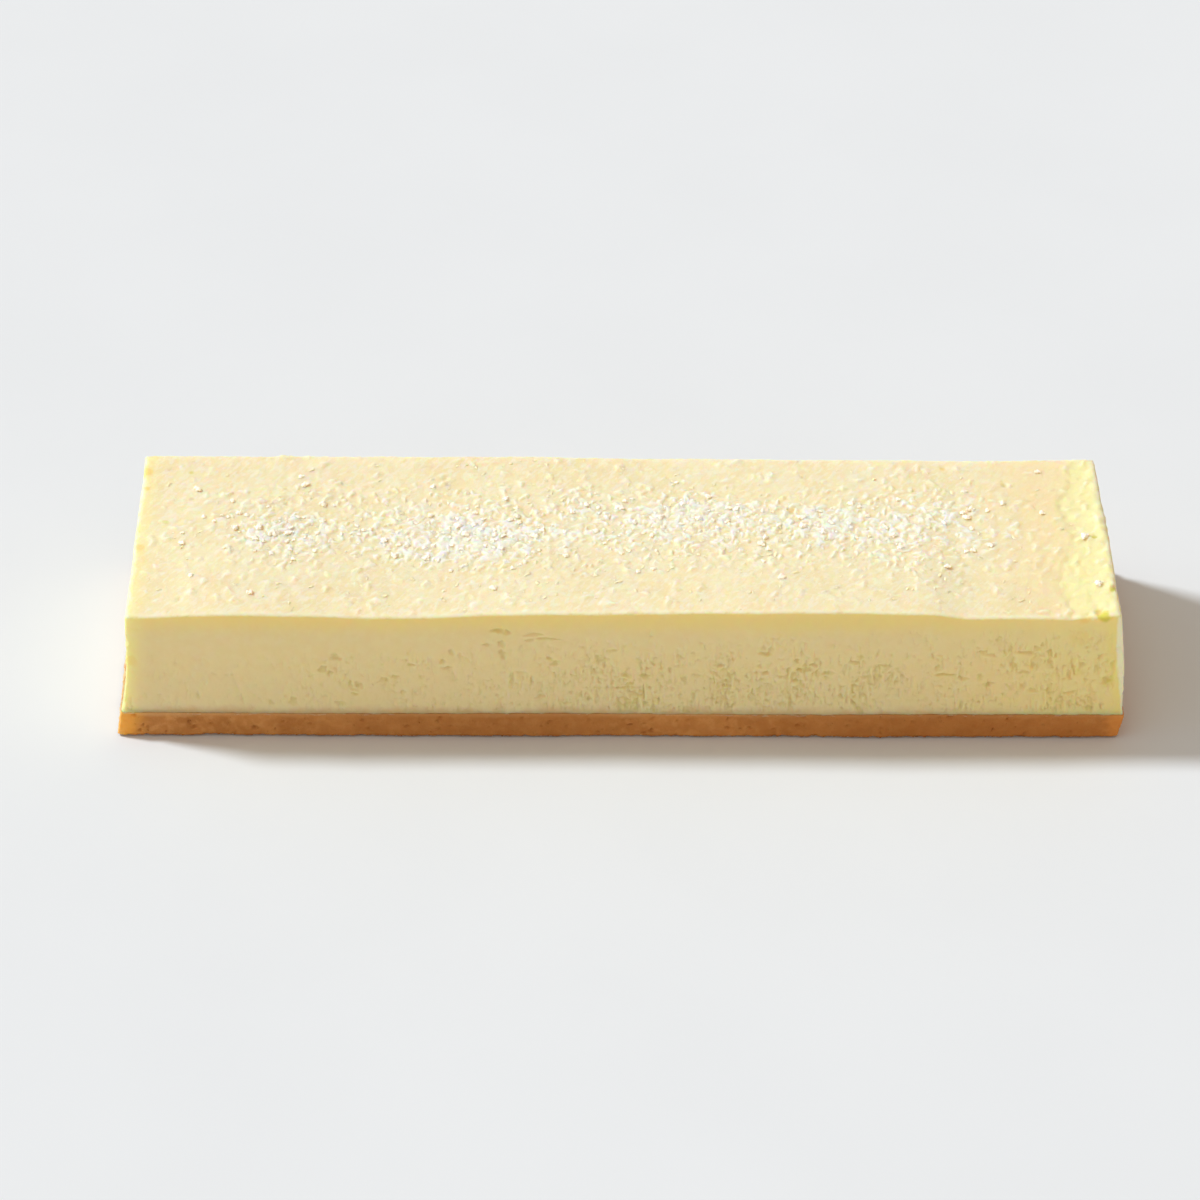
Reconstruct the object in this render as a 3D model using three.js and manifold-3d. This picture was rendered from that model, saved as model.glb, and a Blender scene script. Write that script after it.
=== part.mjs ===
// A bar-shaped baked cheesecake: a thick cheese layer on a pressed biscuit base, with clumps
// of icing sugar dusted over its top. Millimetres, +Z up, the bar's length along X, its front
// face towards -Y, and the origin at the middle of its underside.

import * as THREE from "three";
import { mergeVertices } from "three/addons/utils/BufferGeometryUtils.js";
import Module from "manifold-3d";

const wasm = await Module();
wasm.setup();

const { clamp, lerp, smoothstep } = THREE.MathUtils;

// Driving dimensions, at the bar's widest. Its upright faces lean in from there to the top.
const BAR_LENGTH = 200.5;
const BAR_DEPTH = 55.8;
const BAR_HEIGHT = 29.5;
const BASE_THICKNESS = 5.7;

// The cheese stands this far clear of the base, so that the two stay separate solids.
const LAYER_GAP = 0.1;

// How far each face leans in between the foot and the top, and how late that lean starts.
const LEFT_LEAN = 2.85;
const LEFT_LEAN_POWER = 2.2;
const RIGHT_LEAN = 2;
const RIGHT_LEAN_POWER = 2.4;
const FRONT_LEAN = 1.25;
const BACK_LEAN = 1.35;
const SIDE_LEAN_POWER = 1.5;

// The right end is cut a little askew and stands in this much more at the back. The base is
// undercut there, and the cheese spreads a little just above the base.
const RIGHT_SKEW = 1.2;
const RIGHT_UNDERCUT = 1.1;
const FOOT_SPREAD = 0.35;
const FOOT_SPREAD_HEIGHT = 1.4;

// Rounding of the top and upright edges of the cheese, and of the base's upright edges.
const CHEESE_EDGE = 0.6;
const BASE_EDGE = 0.45;
// The rounding is drawn by a grid line at this share of its radius from the edge.
const EDGE_STEP = 0.3;

// Height of the top over its mean level along the front and back edges, as [x, height].
// Towards the right end the top dips and then rises to a rough rim.
const FRONT_EDGE_LEVEL = [
  [-96, -0.9], [-78, 0.15], [-43, -0.55], [-8, 0.45], [30, 1.1],
  [59, 0.65], [69, -0.45], [85, -0.5], [92, 0.1], [97, 0.8],
];
const BACK_EDGE_LEVEL = [
  [-96, 0.45], [-25, 0.45], [16, 0.05], [57, -0.3], [77, -0.3], [88, -0.1], [96, 0.5],
];

// Slow unevenness of the faces, of the top, and of the line between the two layers.
const FACE_WANDER = 0.22;
const TOP_WANDER = 0.12;
const LAYER_LINE_WANDER = 0.2;
const LAYER_LINE_BAND = 1.2;
const BASE_ROUGHNESS = 0.22;
const BASE_FOOT_RAGGEDNESS = 0.35;

// Icing sugar: drifts as [x, y, half length, half depth, share covered] on the top.
const SUGAR_DRIFTS = [
  [-8, 2, 66, 9, 0.26],
  [-31, -1, 15, 7, 0.8],
  [16, 4, 14, 7, 0.66],
  [41, 3, 10, 5, 0.66],
  [-67, 0, 9, 6, 0.5],
];
const SUGAR_STRAY_COVER = 0.016;
const SUGAR_CLUMPS = 142;
const LARGEST_CLUMP = 1.15;
const SMALLEST_CLUMP = 0.55;
const CLUMP_SQUASH = 0.46;
const CLUMP_SINK = 0.25;
const CLUMP_SPACING = 0.9;
const SUGAR_MARGIN = 3;
const SUGAR_SEED = 2917;

// The great clump by the right rim and the two others that stand out, as [x, y, radius].
const STANDOUT_CLUMPS = [
  [92.4, -0.3, 1.35],
  [-69.2, -0.3, 1.3],
  [-32.2, 2.5, 1.2],
];

// Torn lumps along the right rim, and curd pits in the upright faces and the top.
const RIM_LUMPS = 10;
const RIM_LUMP_RADIUS = 1.15;
const RIM_LUMP_INSET = 1.1;
const RIM_SEED = 77;
const FRONT_PITS = 26;
const BACK_PITS = 12;
const END_PITS = 4;
const TOP_PITS = 4;
const PIT_RADIUS = 0.95;
const PIT_SEED = 4051;

// A lump's corners lie between these shares of its radius from its middle.
const LUMP_NEAREST = 0.78;
const LUMP_FURTHEST = 1.22;

// Biscuit crumbs that stand out of the base's faces, and nicks in its bottom edge.
const BASE_CRUMBS = 28;
const BASE_CRUMB_RADIUS = 0.75;
const BASE_CRUMB_CLEARANCE = 1.6;
const BASE_NICKS = 14;
const BASE_NICK_RADIUS = 0.7;
const BASE_SEED = 613;

// How many faces the grid of each layer has along X, along Y and up its upright faces.
const GRID_LENGTH = 44;
const GRID_DEPTH = 14;
const CHEESE_ROWS = 4;
const BASE_ROWS = 4;

// Repeatable draws between 0 and 1.
function seededDraws(seed) {
  let state = seed;
  return () => {
    state = (state * 16807) % 2147483647;
    return (state - 1) / 2147483646;
  };
}

// A smooth line through a few [x, value] points.
function valueAlong(points, x) {
  const next = points.findIndex(([pointX]) => pointX > x);
  if (next === 0) return points[0][1];
  if (next < 0) return points.at(-1)[1];
  const [x0, value0] = points[next - 1];
  const [x1, value1] = points[next];
  return lerp(value0, value1, smoothstep(x, x0, x1));
}

// A slow wave between about -1 and 1 that never quite repeats.
function wander(along, phase) {
  const long = Math.sin(along * 0.071 + phase);
  const middle = Math.sin(along * 0.173 + 2.3 * phase);
  const short = Math.sin(along * 0.41 + 3.7 * phase);
  return 0.5 * long + 0.32 * middle + 0.18 * short;
}

// Height of the finished top at a place on the bar.
function topLevel(x, y) {
  const towardsBack = clamp(y / BAR_DEPTH + 0.5, 0, 1);
  const edges = lerp(valueAlong(FRONT_EDGE_LEVEL, x), valueAlong(BACK_EDGE_LEVEL, x), towardsBack);
  return BAR_HEIGHT + edges + TOP_WANDER * wander(x + 2.1 * y, 1.3);
}

// Height of the line between the layers where it shows, along the faces of the bar.
function layerLine(x, y) {
  return BASE_THICKNESS + LAYER_LINE_WANDER * wander(x + 1.7 * y, 0.4);
}

// How far the left, right, front and back faces stand in from the bar's widest, at height z.
function faceInsets(x, y, z) {
  const down = clamp(1 - z / BAR_HEIGHT, 0, 1);
  const spread = FOOT_SPREAD * clamp(1 - (z - BASE_THICKNESS) / FOOT_SPREAD_HEIGHT, 0, 1) ** 2;
  const undercut = RIGHT_UNDERCUT * clamp(1 - z / BASE_THICKNESS, 0, 1);
  const sideLean = 1 - down ** SIDE_LEAN_POWER;
  const skew = RIGHT_SKEW * clamp(y / BAR_DEPTH + 0.5, 0, 1);
  const still = FOOT_SPREAD + FACE_WANDER - spread;
  return {
    left: LEFT_LEAN * (1 - down ** LEFT_LEAN_POWER) + FACE_WANDER * wander(y + z, 5.1) + still,
    right: RIGHT_LEAN * (1 - down) ** RIGHT_LEAN_POWER + undercut + skew
      + FACE_WANDER * wander(y + z, 2.6) + still,
    front: FRONT_LEAN * sideLean + FACE_WANDER * wander(x + 0.8 * z, 0.9) + still,
    back: BACK_LEAN * sideLean + FACE_WANDER * wander(x + 0.8 * z, 4.2) + still,
  };
}

// Moves a point of the square-cut bar to its place in the real one.
function leanIn(point) {
  const insets = faceInsets(point.x, point.y, point.z);
  const halfLength = BAR_LENGTH / 2;
  const halfDepth = BAR_DEPTH / 2;
  const alongLength = point.x / BAR_LENGTH + 0.5;
  const alongDepth = point.y / BAR_DEPTH + 0.5;
  point.x = lerp(insets.left - halfLength, halfLength - insets.right, alongLength);
  point.y = lerp(insets.front - halfDepth, halfDepth - insets.back, alongDepth);
  return point;
}

// Grid lines over a length: close together over the rounding at both ends, even between.
function gridLines(low, high, count, edge) {
  const inner = count - 4;
  const lines = [low, low + EDGE_STEP * edge, low + edge];
  for (let i = 1; i < inner; i += 1) {
    lines.push(lerp(low + edge, high - edge, i / inner));
  }
  lines.push(high - edge, high - EDGE_STEP * edge, high);
  return lines;
}

// Rounds the edges of a box by pulling each point near one onto an arc. A box that is
// rounded above keeps its bottom edges sharp.
function roundEdge(point, radius, roundedTop) {
  const core = new THREE.Vector3(
    clamp(point.x, radius - BAR_LENGTH / 2, BAR_LENGTH / 2 - radius),
    clamp(point.y, radius - BAR_DEPTH / 2, BAR_DEPTH / 2 - radius),
    roundedTop ? Math.min(point.z, BAR_HEIGHT - radius) : point.z,
  );
  const out = point.clone().sub(core);
  const reach = Math.max(Math.abs(out.x), Math.abs(out.y), Math.abs(out.z));
  return reach > 0 ? core.addScaledVector(out.normalize(), reach) : point;
}

// The grid's outermost crossings in order round the bar, anticlockwise from the front left.
function outlineCrossings(countX, countY) {
  const steps = (count) => Array.from({ length: count }, (_, i) => i);
  return [
    ...steps(countX).map((i) => [i, 0]),
    ...steps(countY).map((j) => [countX, j]),
    ...steps(countX).map((i) => [countX - i, countY]),
    ...steps(countY).map((j) => [0, countY - j]),
  ];
}

// A closed block of rings of points, one above the other. Its ends are flat caps, or a grid
// of points where gridPoint gives the place of each inner crossing of the top.
function ringedBlock(crossings, rings, gridPoint) {
  const around = crossings.length;
  const points = rings.flat();
  const faces = [];
  const quad = (a, b, c, d) => faces.push(a, b, c, a, c, d);
  for (let level = 0; level < rings.length - 1; level += 1) {
    const [below, above] = [level * around, (level + 1) * around];
    for (let i = 0; i < around; i += 1) {
      const next = (i + 1) % around;
      quad(below + i, below + next, above + next, above + i);
    }
  }
  const cap = (ring) => THREE.ShapeUtils.triangulateShape(
    ring.map((point) => new THREE.Vector2(point.x, point.y)), [],
  );
  cap(rings[0]).forEach(([a, b, c]) => faces.push(a, c, b));
  const top = (rings.length - 1) * around;
  if (!gridPoint) {
    cap(rings.at(-1)).forEach((face) => faces.push(...face.map((corner) => top + corner)));
  } else {
    const index = new Map(crossings.map((crossing, i) => [crossing.join(), top + i]));
    const countX = Math.max(...crossings.map(([i]) => i));
    const countY = Math.max(...crossings.map(([, j]) => j));
    const crossingIndex = (i, j) => {
      const key = [i, j].join();
      if (!index.has(key)) index.set(key, points.push(gridPoint(i, j)) - 1);
      return index.get(key);
    };
    for (let i = 0; i < countX; i += 1) {
      for (let j = 0; j < countY; j += 1) {
        const [near, far] = [[i, j], [i + 1, j + 1]];
        quad(
          crossingIndex(...near), crossingIndex(far[0], near[1]),
          crossingIndex(...far), crossingIndex(near[0], far[1]),
        );
      }
    }
  }
  return new THREE.BufferGeometry().setFromPoints(points).setIndex(faces);
}

// An uneven lump of twenty faces, stretched by the vector radii, for a clump, crumb or pit.
function lump(draw, radii, place) {
  const bare = new THREE.IcosahedronGeometry(1, 0);
  bare.deleteAttribute("normal");
  bare.deleteAttribute("uv");
  const geometry = mergeVertices(bare, 1e-5);
  const positions = geometry.attributes.position;
  const corner = new THREE.Vector3();
  for (let i = 0; i < positions.count; i += 1) {
    corner.fromBufferAttribute(positions, i);
    corner.multiplyScalar(lerp(LUMP_NEAREST, LUMP_FURTHEST, draw()));
    positions.setXYZ(i, ...corner.toArray());
  }
  geometry.rotateX(Math.PI * draw());
  geometry.rotateZ(2 * Math.PI * draw());
  geometry.scale(...radii.toArray());
  geometry.translate(...place.toArray());
  return solidOf(geometry);
}

function solidOf(geometry) {
  return new wasm.Manifold(new wasm.Mesh({
    numProp: 3,
    vertProperties: geometry.attributes.position.array,
    triVerts: new Uint32Array(geometry.index.array),
  }));
}

function geometryOf(solid) {
  const mesh = solid.getMesh();
  return new THREE.BufferGeometry()
    .setAttribute("position", new THREE.BufferAttribute(mesh.vertProperties, 3))
    .setIndex(new THREE.BufferAttribute(mesh.triVerts, 1));
}

function joined(body, pieces) {
  return pieces.reduce((whole, piece) => whole.add(piece), body);
}

function cutFrom(body, pieces) {
  return pieces.reduce((whole, piece) => whole.subtract(piece), body);
}

// A point at a share of an upright face's length and at a height, some way in from the face.
function pointOnFace(face, share, z, inward = 0) {
  const x = lerp(-BAR_LENGTH / 2, BAR_LENGTH / 2, share);
  const y = lerp(-BAR_DEPTH / 2, BAR_DEPTH / 2, share);
  const places = {
    front: [x, -BAR_DEPTH / 2, 0, 1],
    back: [x, BAR_DEPTH / 2, 0, -1],
    left: [-BAR_LENGTH / 2, y, 1, 0],
    right: [BAR_LENGTH / 2, y, -1, 0],
  };
  const [faceX, faceY, inX, inY] = places[face];
  const point = leanIn(new THREE.Vector3(faceX, faceY, z));
  return point.addScaledVector(new THREE.Vector3(inX, inY, 0), inward);
}

// How much of the top is under sugar clumps at a place, from 0 to 1.
function sugarCover(x, y) {
  const drifted = SUGAR_DRIFTS.map(([driftX, driftY, length, depth, share]) => {
    const away = ((x - driftX) / length) ** 2 + ((y - driftY) / depth) ** 2;
    return share * Math.exp(-away);
  });
  return SUGAR_STRAY_COVER + Math.max(...drifted);
}

// Places the clumps, the largest first, where the sugar lies and not on each other.
function sugarClumpPlaces(draw) {
  const places = STANDOUT_CLUMPS.map(([x, y, radius]) => ({ x, y, radius }));
  const reachX = BAR_LENGTH / 2 - LEFT_LEAN - SUGAR_MARGIN;
  const reachY = BAR_DEPTH / 2 - FRONT_LEAN - SUGAR_MARGIN;
  while (places.length < SUGAR_CLUMPS) {
    const x = lerp(-reachX, reachX, draw());
    const y = lerp(-reachY, reachY, draw());
    const radius = lerp(LARGEST_CLUMP, SMALLEST_CLUMP, Math.sqrt(places.length / SUGAR_CLUMPS));
    const clear = places.every(
      (other) => Math.hypot(other.x - x, other.y - y) > CLUMP_SPACING * (other.radius + radius),
    );
    if (draw() < sugarCover(x, y) && clear) places.push({ x, y, radius });
  }
  return places;
}

function sugarClumps() {
  const draw = seededDraws(SUGAR_SEED);
  return sugarClumpPlaces(draw).map(({ x, y, radius }) => {
    const radii = new THREE.Vector3(radius, radius * (0.75 + 0.3 * draw()), radius * CLUMP_SQUASH);
    const height = topLevel(x, y) + radii.z * (1 - 2 * CLUMP_SINK);
    return lump(draw, radii, new THREE.Vector3(x, y, height));
  });
}

// The torn, raised lumps along the top edge of the right end.
function rimLumps() {
  const draw = seededDraws(RIM_SEED);
  return Array.from({ length: RIM_LUMPS }, (_, i) => {
    const share = lerp(0.05, 0.95, (i + draw()) / RIM_LUMPS);
    const radius = RIM_LUMP_RADIUS * (0.6 + 0.5 * draw());
    const place = pointOnFace("right", share, BAR_HEIGHT, RIM_LUMP_INSET * (0.7 + 0.5 * draw()));
    place.z = topLevel(place.x, place.y) - 0.25 * radius;
    return lump(draw, new THREE.Vector3(radius, 1.5 * radius, 0.6 * radius), place);
  });
}

// Curd pits: many in the lower two thirds of the faces and few in the smooth left of the front.
function facePits() {
  const draw = seededDraws(PIT_SEED);
  const counts = { front: FRONT_PITS, back: BACK_PITS, left: END_PITS, right: END_PITS };
  return Object.entries(counts).flatMap(([face, count]) =>
    Array.from({ length: count }, () => {
      const alongX = face === "front" || face === "back";
      const share = alongX ? lerp(0.1, 0.97, draw() ** 0.6) : lerp(0.12, 0.88, draw());
      const height = lerp(BASE_THICKNESS + 2.2, 0.72 * BAR_HEIGHT, draw() ** 1.3);
      const long = PIT_RADIUS * (0.6 + 0.6 * draw());
      const deep = 0.55 * long;
      const radii = alongX
        ? new THREE.Vector3(long, deep, 0.6 * long)
        : new THREE.Vector3(deep, long, 0.6 * long);
      return lump(draw, radii, pointOnFace(face, share, height));
    }),
  );
}

function topPits() {
  const draw = seededDraws(PIT_SEED + 1);
  return Array.from({ length: TOP_PITS }, (_, i) => {
    const x = lerp(-88, 88, (i + draw()) / TOP_PITS);
    const y = lerp(14, 21, draw()) * (i % 2 ? 1 : -1);
    const radius = PIT_RADIUS * (0.5 + 0.4 * draw());
    const place = new THREE.Vector3(x, y, topLevel(x, y));
    return lump(draw, new THREE.Vector3(radius, radius, 0.6 * radius), place);
  });
}

// The flat part of the line between the layers, just inside the faces of the bar.
function insideRing(ring, height) {
  return ring.map((point) => new THREE.Vector3(
    point.x * (1 - LAYER_LINE_BAND / (BAR_LENGTH / 2)),
    point.y * (1 - LAYER_LINE_BAND / (BAR_DEPTH / 2)),
    height,
  ));
}

function cheeseBlock() {
  const linesX = gridLines(-BAR_LENGTH / 2, BAR_LENGTH / 2, GRID_LENGTH, CHEESE_EDGE);
  const linesY = gridLines(-BAR_DEPTH / 2, BAR_DEPTH / 2, GRID_DEPTH, CHEESE_EDGE);
  const shoulder = BAR_HEIGHT - CHEESE_EDGE;
  const spreadTop = BASE_THICKNESS + FOOT_SPREAD_HEIGHT;
  const levels = [BASE_THICKNESS, spreadTop];
  for (let row = 1; row < CHEESE_ROWS; row += 1) {
    levels.push(lerp(spreadTop, shoulder, row / CHEESE_ROWS));
  }
  levels.push(shoulder, BAR_HEIGHT - EDGE_STEP * CHEESE_EDGE, BAR_HEIGHT);
  const crossings = outlineCrossings(GRID_LENGTH, GRID_DEPTH);
  const placeAt = (i, j, level) => {
    const square = new THREE.Vector3(linesX[i], linesY[j], level);
    const placed = leanIn(roundEdge(square, CHEESE_EDGE, true));
    const share = (placed.z - BASE_THICKNESS) / (BAR_HEIGHT - BASE_THICKNESS);
    const line = layerLine(placed.x, placed.y) + LAYER_GAP;
    placed.z = lerp(line, topLevel(placed.x, placed.y), share);
    return placed;
  };
  const rings = levels.map((level) => crossings.map(([i, j]) => placeAt(i, j, level)));
  rings.unshift(insideRing(rings[0], BASE_THICKNESS + LAYER_GAP));
  return ringedBlock(crossings, rings, (i, j) => placeAt(i, j, BAR_HEIGHT));
}

function cheeseLayer() {
  const heaped = joined(solidOf(cheeseBlock()), [...sugarClumps(), ...rimLumps()]);
  const pitted = cutFrom(heaped, [...facePits(), ...topPits()]);
  const material = new THREE.MeshStandardMaterial({ color: 0xf3e6b4, roughness: 0.6, metalness: 0 });
  const mesh = new THREE.Mesh(geometryOf(pitted), material);
  mesh.name = "cheese_layer";
  return mesh;
}

// Crumbs that stand out of the base's faces, clear of the cheese and of the ground.
function baseCrumbs(draw) {
  const faces = ["front", "back", "front", "right", "back", "left"];
  return Array.from({ length: BASE_CRUMBS }, (_, i) => {
    const radius = BASE_CRUMB_RADIUS * (0.6 + 0.5 * draw());
    const height = lerp(BASE_CRUMB_CLEARANCE, BASE_THICKNESS - BASE_CRUMB_CLEARANCE, draw());
    const share = lerp(0.03, 0.97, draw());
    const place = pointOnFace(faces[i % faces.length], share, height, 0.4 * radius);
    return lump(draw, new THREE.Vector3(radius, radius, 0.8 * radius), place);
  });
}

function baseNicks(draw) {
  const faces = ["front", "back", "front", "left", "back", "right"];
  return Array.from({ length: BASE_NICKS }, (_, i) => {
    const radius = BASE_NICK_RADIUS * (0.6 + 0.6 * draw());
    const place = pointOnFace(faces[i % faces.length], lerp(0.05, 0.95, draw()), 0.2 * radius);
    return lump(draw, new THREE.Vector3(1.4 * radius, radius, radius), place);
  });
}

function biscuitBlock(draw) {
  const linesX = gridLines(-BAR_LENGTH / 2, BAR_LENGTH / 2, GRID_LENGTH, BASE_EDGE);
  const linesY = gridLines(-BAR_DEPTH / 2, BAR_DEPTH / 2, GRID_DEPTH, BASE_EDGE);
  const crossings = outlineCrossings(GRID_LENGTH, GRID_DEPTH);
  const ringAt = (level, raggedness) => crossings.map(([i, j]) => {
    const square = new THREE.Vector3(linesX[i], linesY[j], level);
    const placed = leanIn(roundEdge(square, BASE_EDGE, false));
    const inward = raggedness * draw();
    placed.x *= 1 - inward / (BAR_LENGTH / 2);
    placed.y *= 1 - inward / (BAR_DEPTH / 2);
    return placed;
  });
  const rings = [ringAt(0, BASE_FOOT_RAGGEDNESS)];
  for (let row = 1; row < BASE_ROWS; row += 1) {
    rings.push(ringAt((BASE_THICKNESS * row) / BASE_ROWS, BASE_ROUGHNESS));
  }
  const rim = ringAt(BASE_THICKNESS, 0);
  rim.forEach((point) => { point.z = layerLine(point.x, point.y); });
  rings.push(rim, insideRing(rim, BASE_THICKNESS));
  return ringedBlock(crossings, rings);
}

function biscuitBase() {
  const draw = seededDraws(BASE_SEED);
  const whole = joined(solidOf(biscuitBlock(draw)), baseCrumbs(draw));
  const crumbled = cutFrom(whole, baseNicks(draw));
  const material = new THREE.MeshStandardMaterial({ color: 0xb67a40, roughness: 0.9, metalness: 0 });
  const mesh = new THREE.Mesh(geometryOf(crumbled), material);
  mesh.name = "biscuit_base";
  return mesh;
}

// The bar, moved so that the origin is at the middle of its underside.
function cheesecakeBar() {
  const bar = new THREE.Group();
  bar.add(cheeseLayer(), biscuitBase());
  const bounds = new THREE.Box3().setFromObject(bar, true);
  const middle = bounds.getCenter(new THREE.Vector3());
  bar.position.set(-middle.x, -middle.y, -bounds.min.z);
  return bar;
}

const cheesecake = cheesecakeBar();

export default cheesecake;
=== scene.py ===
"""A bar-shaped baked cheesecake on a biscuit base, its top dusted with icing sugar.

The cheese and the base are modelled over their solids, with the same faces, edges, pits and
clumps, and get the fine curd, crumb and sugar that the solids leave out. Sizes inside the
functions are millimetres. Meshes, settings and shader coordinates are in metres.
"""

import math

import bmesh
import bpy
import numpy as np
from bpy.props import FloatProperty, FloatVectorProperty, IntProperty, PointerProperty
from mathutils import Matrix, Vector, kdtree, noise


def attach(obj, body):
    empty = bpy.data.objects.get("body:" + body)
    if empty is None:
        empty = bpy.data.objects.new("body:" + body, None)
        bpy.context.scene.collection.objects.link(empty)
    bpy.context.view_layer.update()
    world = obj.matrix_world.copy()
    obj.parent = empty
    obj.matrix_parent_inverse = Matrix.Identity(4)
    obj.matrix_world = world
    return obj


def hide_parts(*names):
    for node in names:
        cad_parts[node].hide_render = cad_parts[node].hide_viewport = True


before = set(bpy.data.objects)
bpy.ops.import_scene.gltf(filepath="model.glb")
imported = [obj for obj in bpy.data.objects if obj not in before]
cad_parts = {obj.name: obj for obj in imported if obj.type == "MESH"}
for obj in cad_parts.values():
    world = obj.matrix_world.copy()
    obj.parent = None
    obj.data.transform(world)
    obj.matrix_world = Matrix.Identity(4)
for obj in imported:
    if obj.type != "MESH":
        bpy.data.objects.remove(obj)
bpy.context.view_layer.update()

bl_info = {
    "name": "Cheesecake bar",
    "version": (1, 0, 0),
    "blender": (4, 5, 0),
    "location": "View3D > Sidebar > Cheesecake",
    "description": "Models a baked cheesecake bar with its biscuit base and icing sugar",
    "category": "Add Mesh",
}

MM = 0.001

# The bar at its widest, and where its middle lies from the origin.
BAR_LENGTH = 200.5
BAR_DEPTH = 55.8
BAR_HEIGHT = 29.5
BASE_THICKNESS = 5.7
LAYER_GAP = 0.1
BAR_MIDDLE = np.array([0.107, -0.059, 0])
HALF_LENGTH = BAR_LENGTH / 2
HALF_DEPTH = BAR_DEPTH / 2

# How far each face leans in between the foot and the top, and how late that lean starts.
LEFT_LEAN = 2.85
LEFT_LEAN_POWER = 2.2
RIGHT_LEAN = 2
RIGHT_LEAN_POWER = 2.4
FRONT_LEAN = 1.25
BACK_LEAN = 1.35
SIDE_LEAN_POWER = 1.5
RIGHT_SKEW = 1.2
RIGHT_UNDERCUT = 1.1
FOOT_SPREAD = 0.35
FOOT_SPREAD_HEIGHT = 1.4
CHEESE_EDGE = 0.6
BASE_EDGE = 0.45

# Height of the top over its mean level along the front and back edges, as (x, height).
FRONT_EDGE_LEVEL = (
    (-96, -0.9), (-78, 0.15), (-43, -0.55), (-8, 0.45), (30, 1.1),
    (59, 0.65), (69, -0.45), (85, -0.5), (92, 0.1), (97, 0.8),
)
BACK_EDGE_LEVEL = (
    (-96, 0.45), (-25, 0.45), (16, 0.05), (57, -0.3), (77, -0.3), (88, -0.1), (96, 0.5),
)

# Slow unevenness of the faces, of the top, and of the line between the two layers.
FACE_WANDER = 0.22
TOP_WANDER = 0.12
LAYER_LINE_WANDER = 0.2
LAYER_LINE_BAND = 1.2
BASE_FOOT_RAGGEDNESS = 0.35

# Icing sugar: drifts as (x, y, half length, half depth, share covered) on the top.
SUGAR_DRIFTS = (
    (-8, 2, 66, 9, 0.26),
    (-31, -1, 15, 7, 0.8),
    (16, 4, 14, 7, 0.66),
    (41, 3, 10, 5, 0.66),
    (-67, 0, 9, 6, 0.5),
)
SUGAR_STRAY_COVER = 0.016
SUGAR_CLUMPS = 142
LARGEST_CLUMP = 1.15
SMALLEST_CLUMP = 0.55
CLUMP_SQUASH = 0.46
CLUMP_SINK = 0.25
CLUMP_SPACING = 0.9
SUGAR_MARGIN = 3
SUGAR_SEED = 2917
STANDOUT_CLUMPS = ((92.4, -0.3, 1.35), (-69.2, -0.3, 1.3), (-32.2, 2.5, 1.2))

# Torn lumps along the right rim, and the larger curd pits in the upright faces and the top.
RIM_LUMPS = 10
RIM_LUMP_RADIUS = 1.15
RIM_LUMP_INSET = 1.1
RIM_SEED = 77
FACE_PITS = {"front": 26, "back": 12, "left": 4, "right": 4}
TOP_PITS = 4
PIT_RADIUS = 0.95
PIT_SEED = 4051
LUMP_DRAWS = 14

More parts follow.
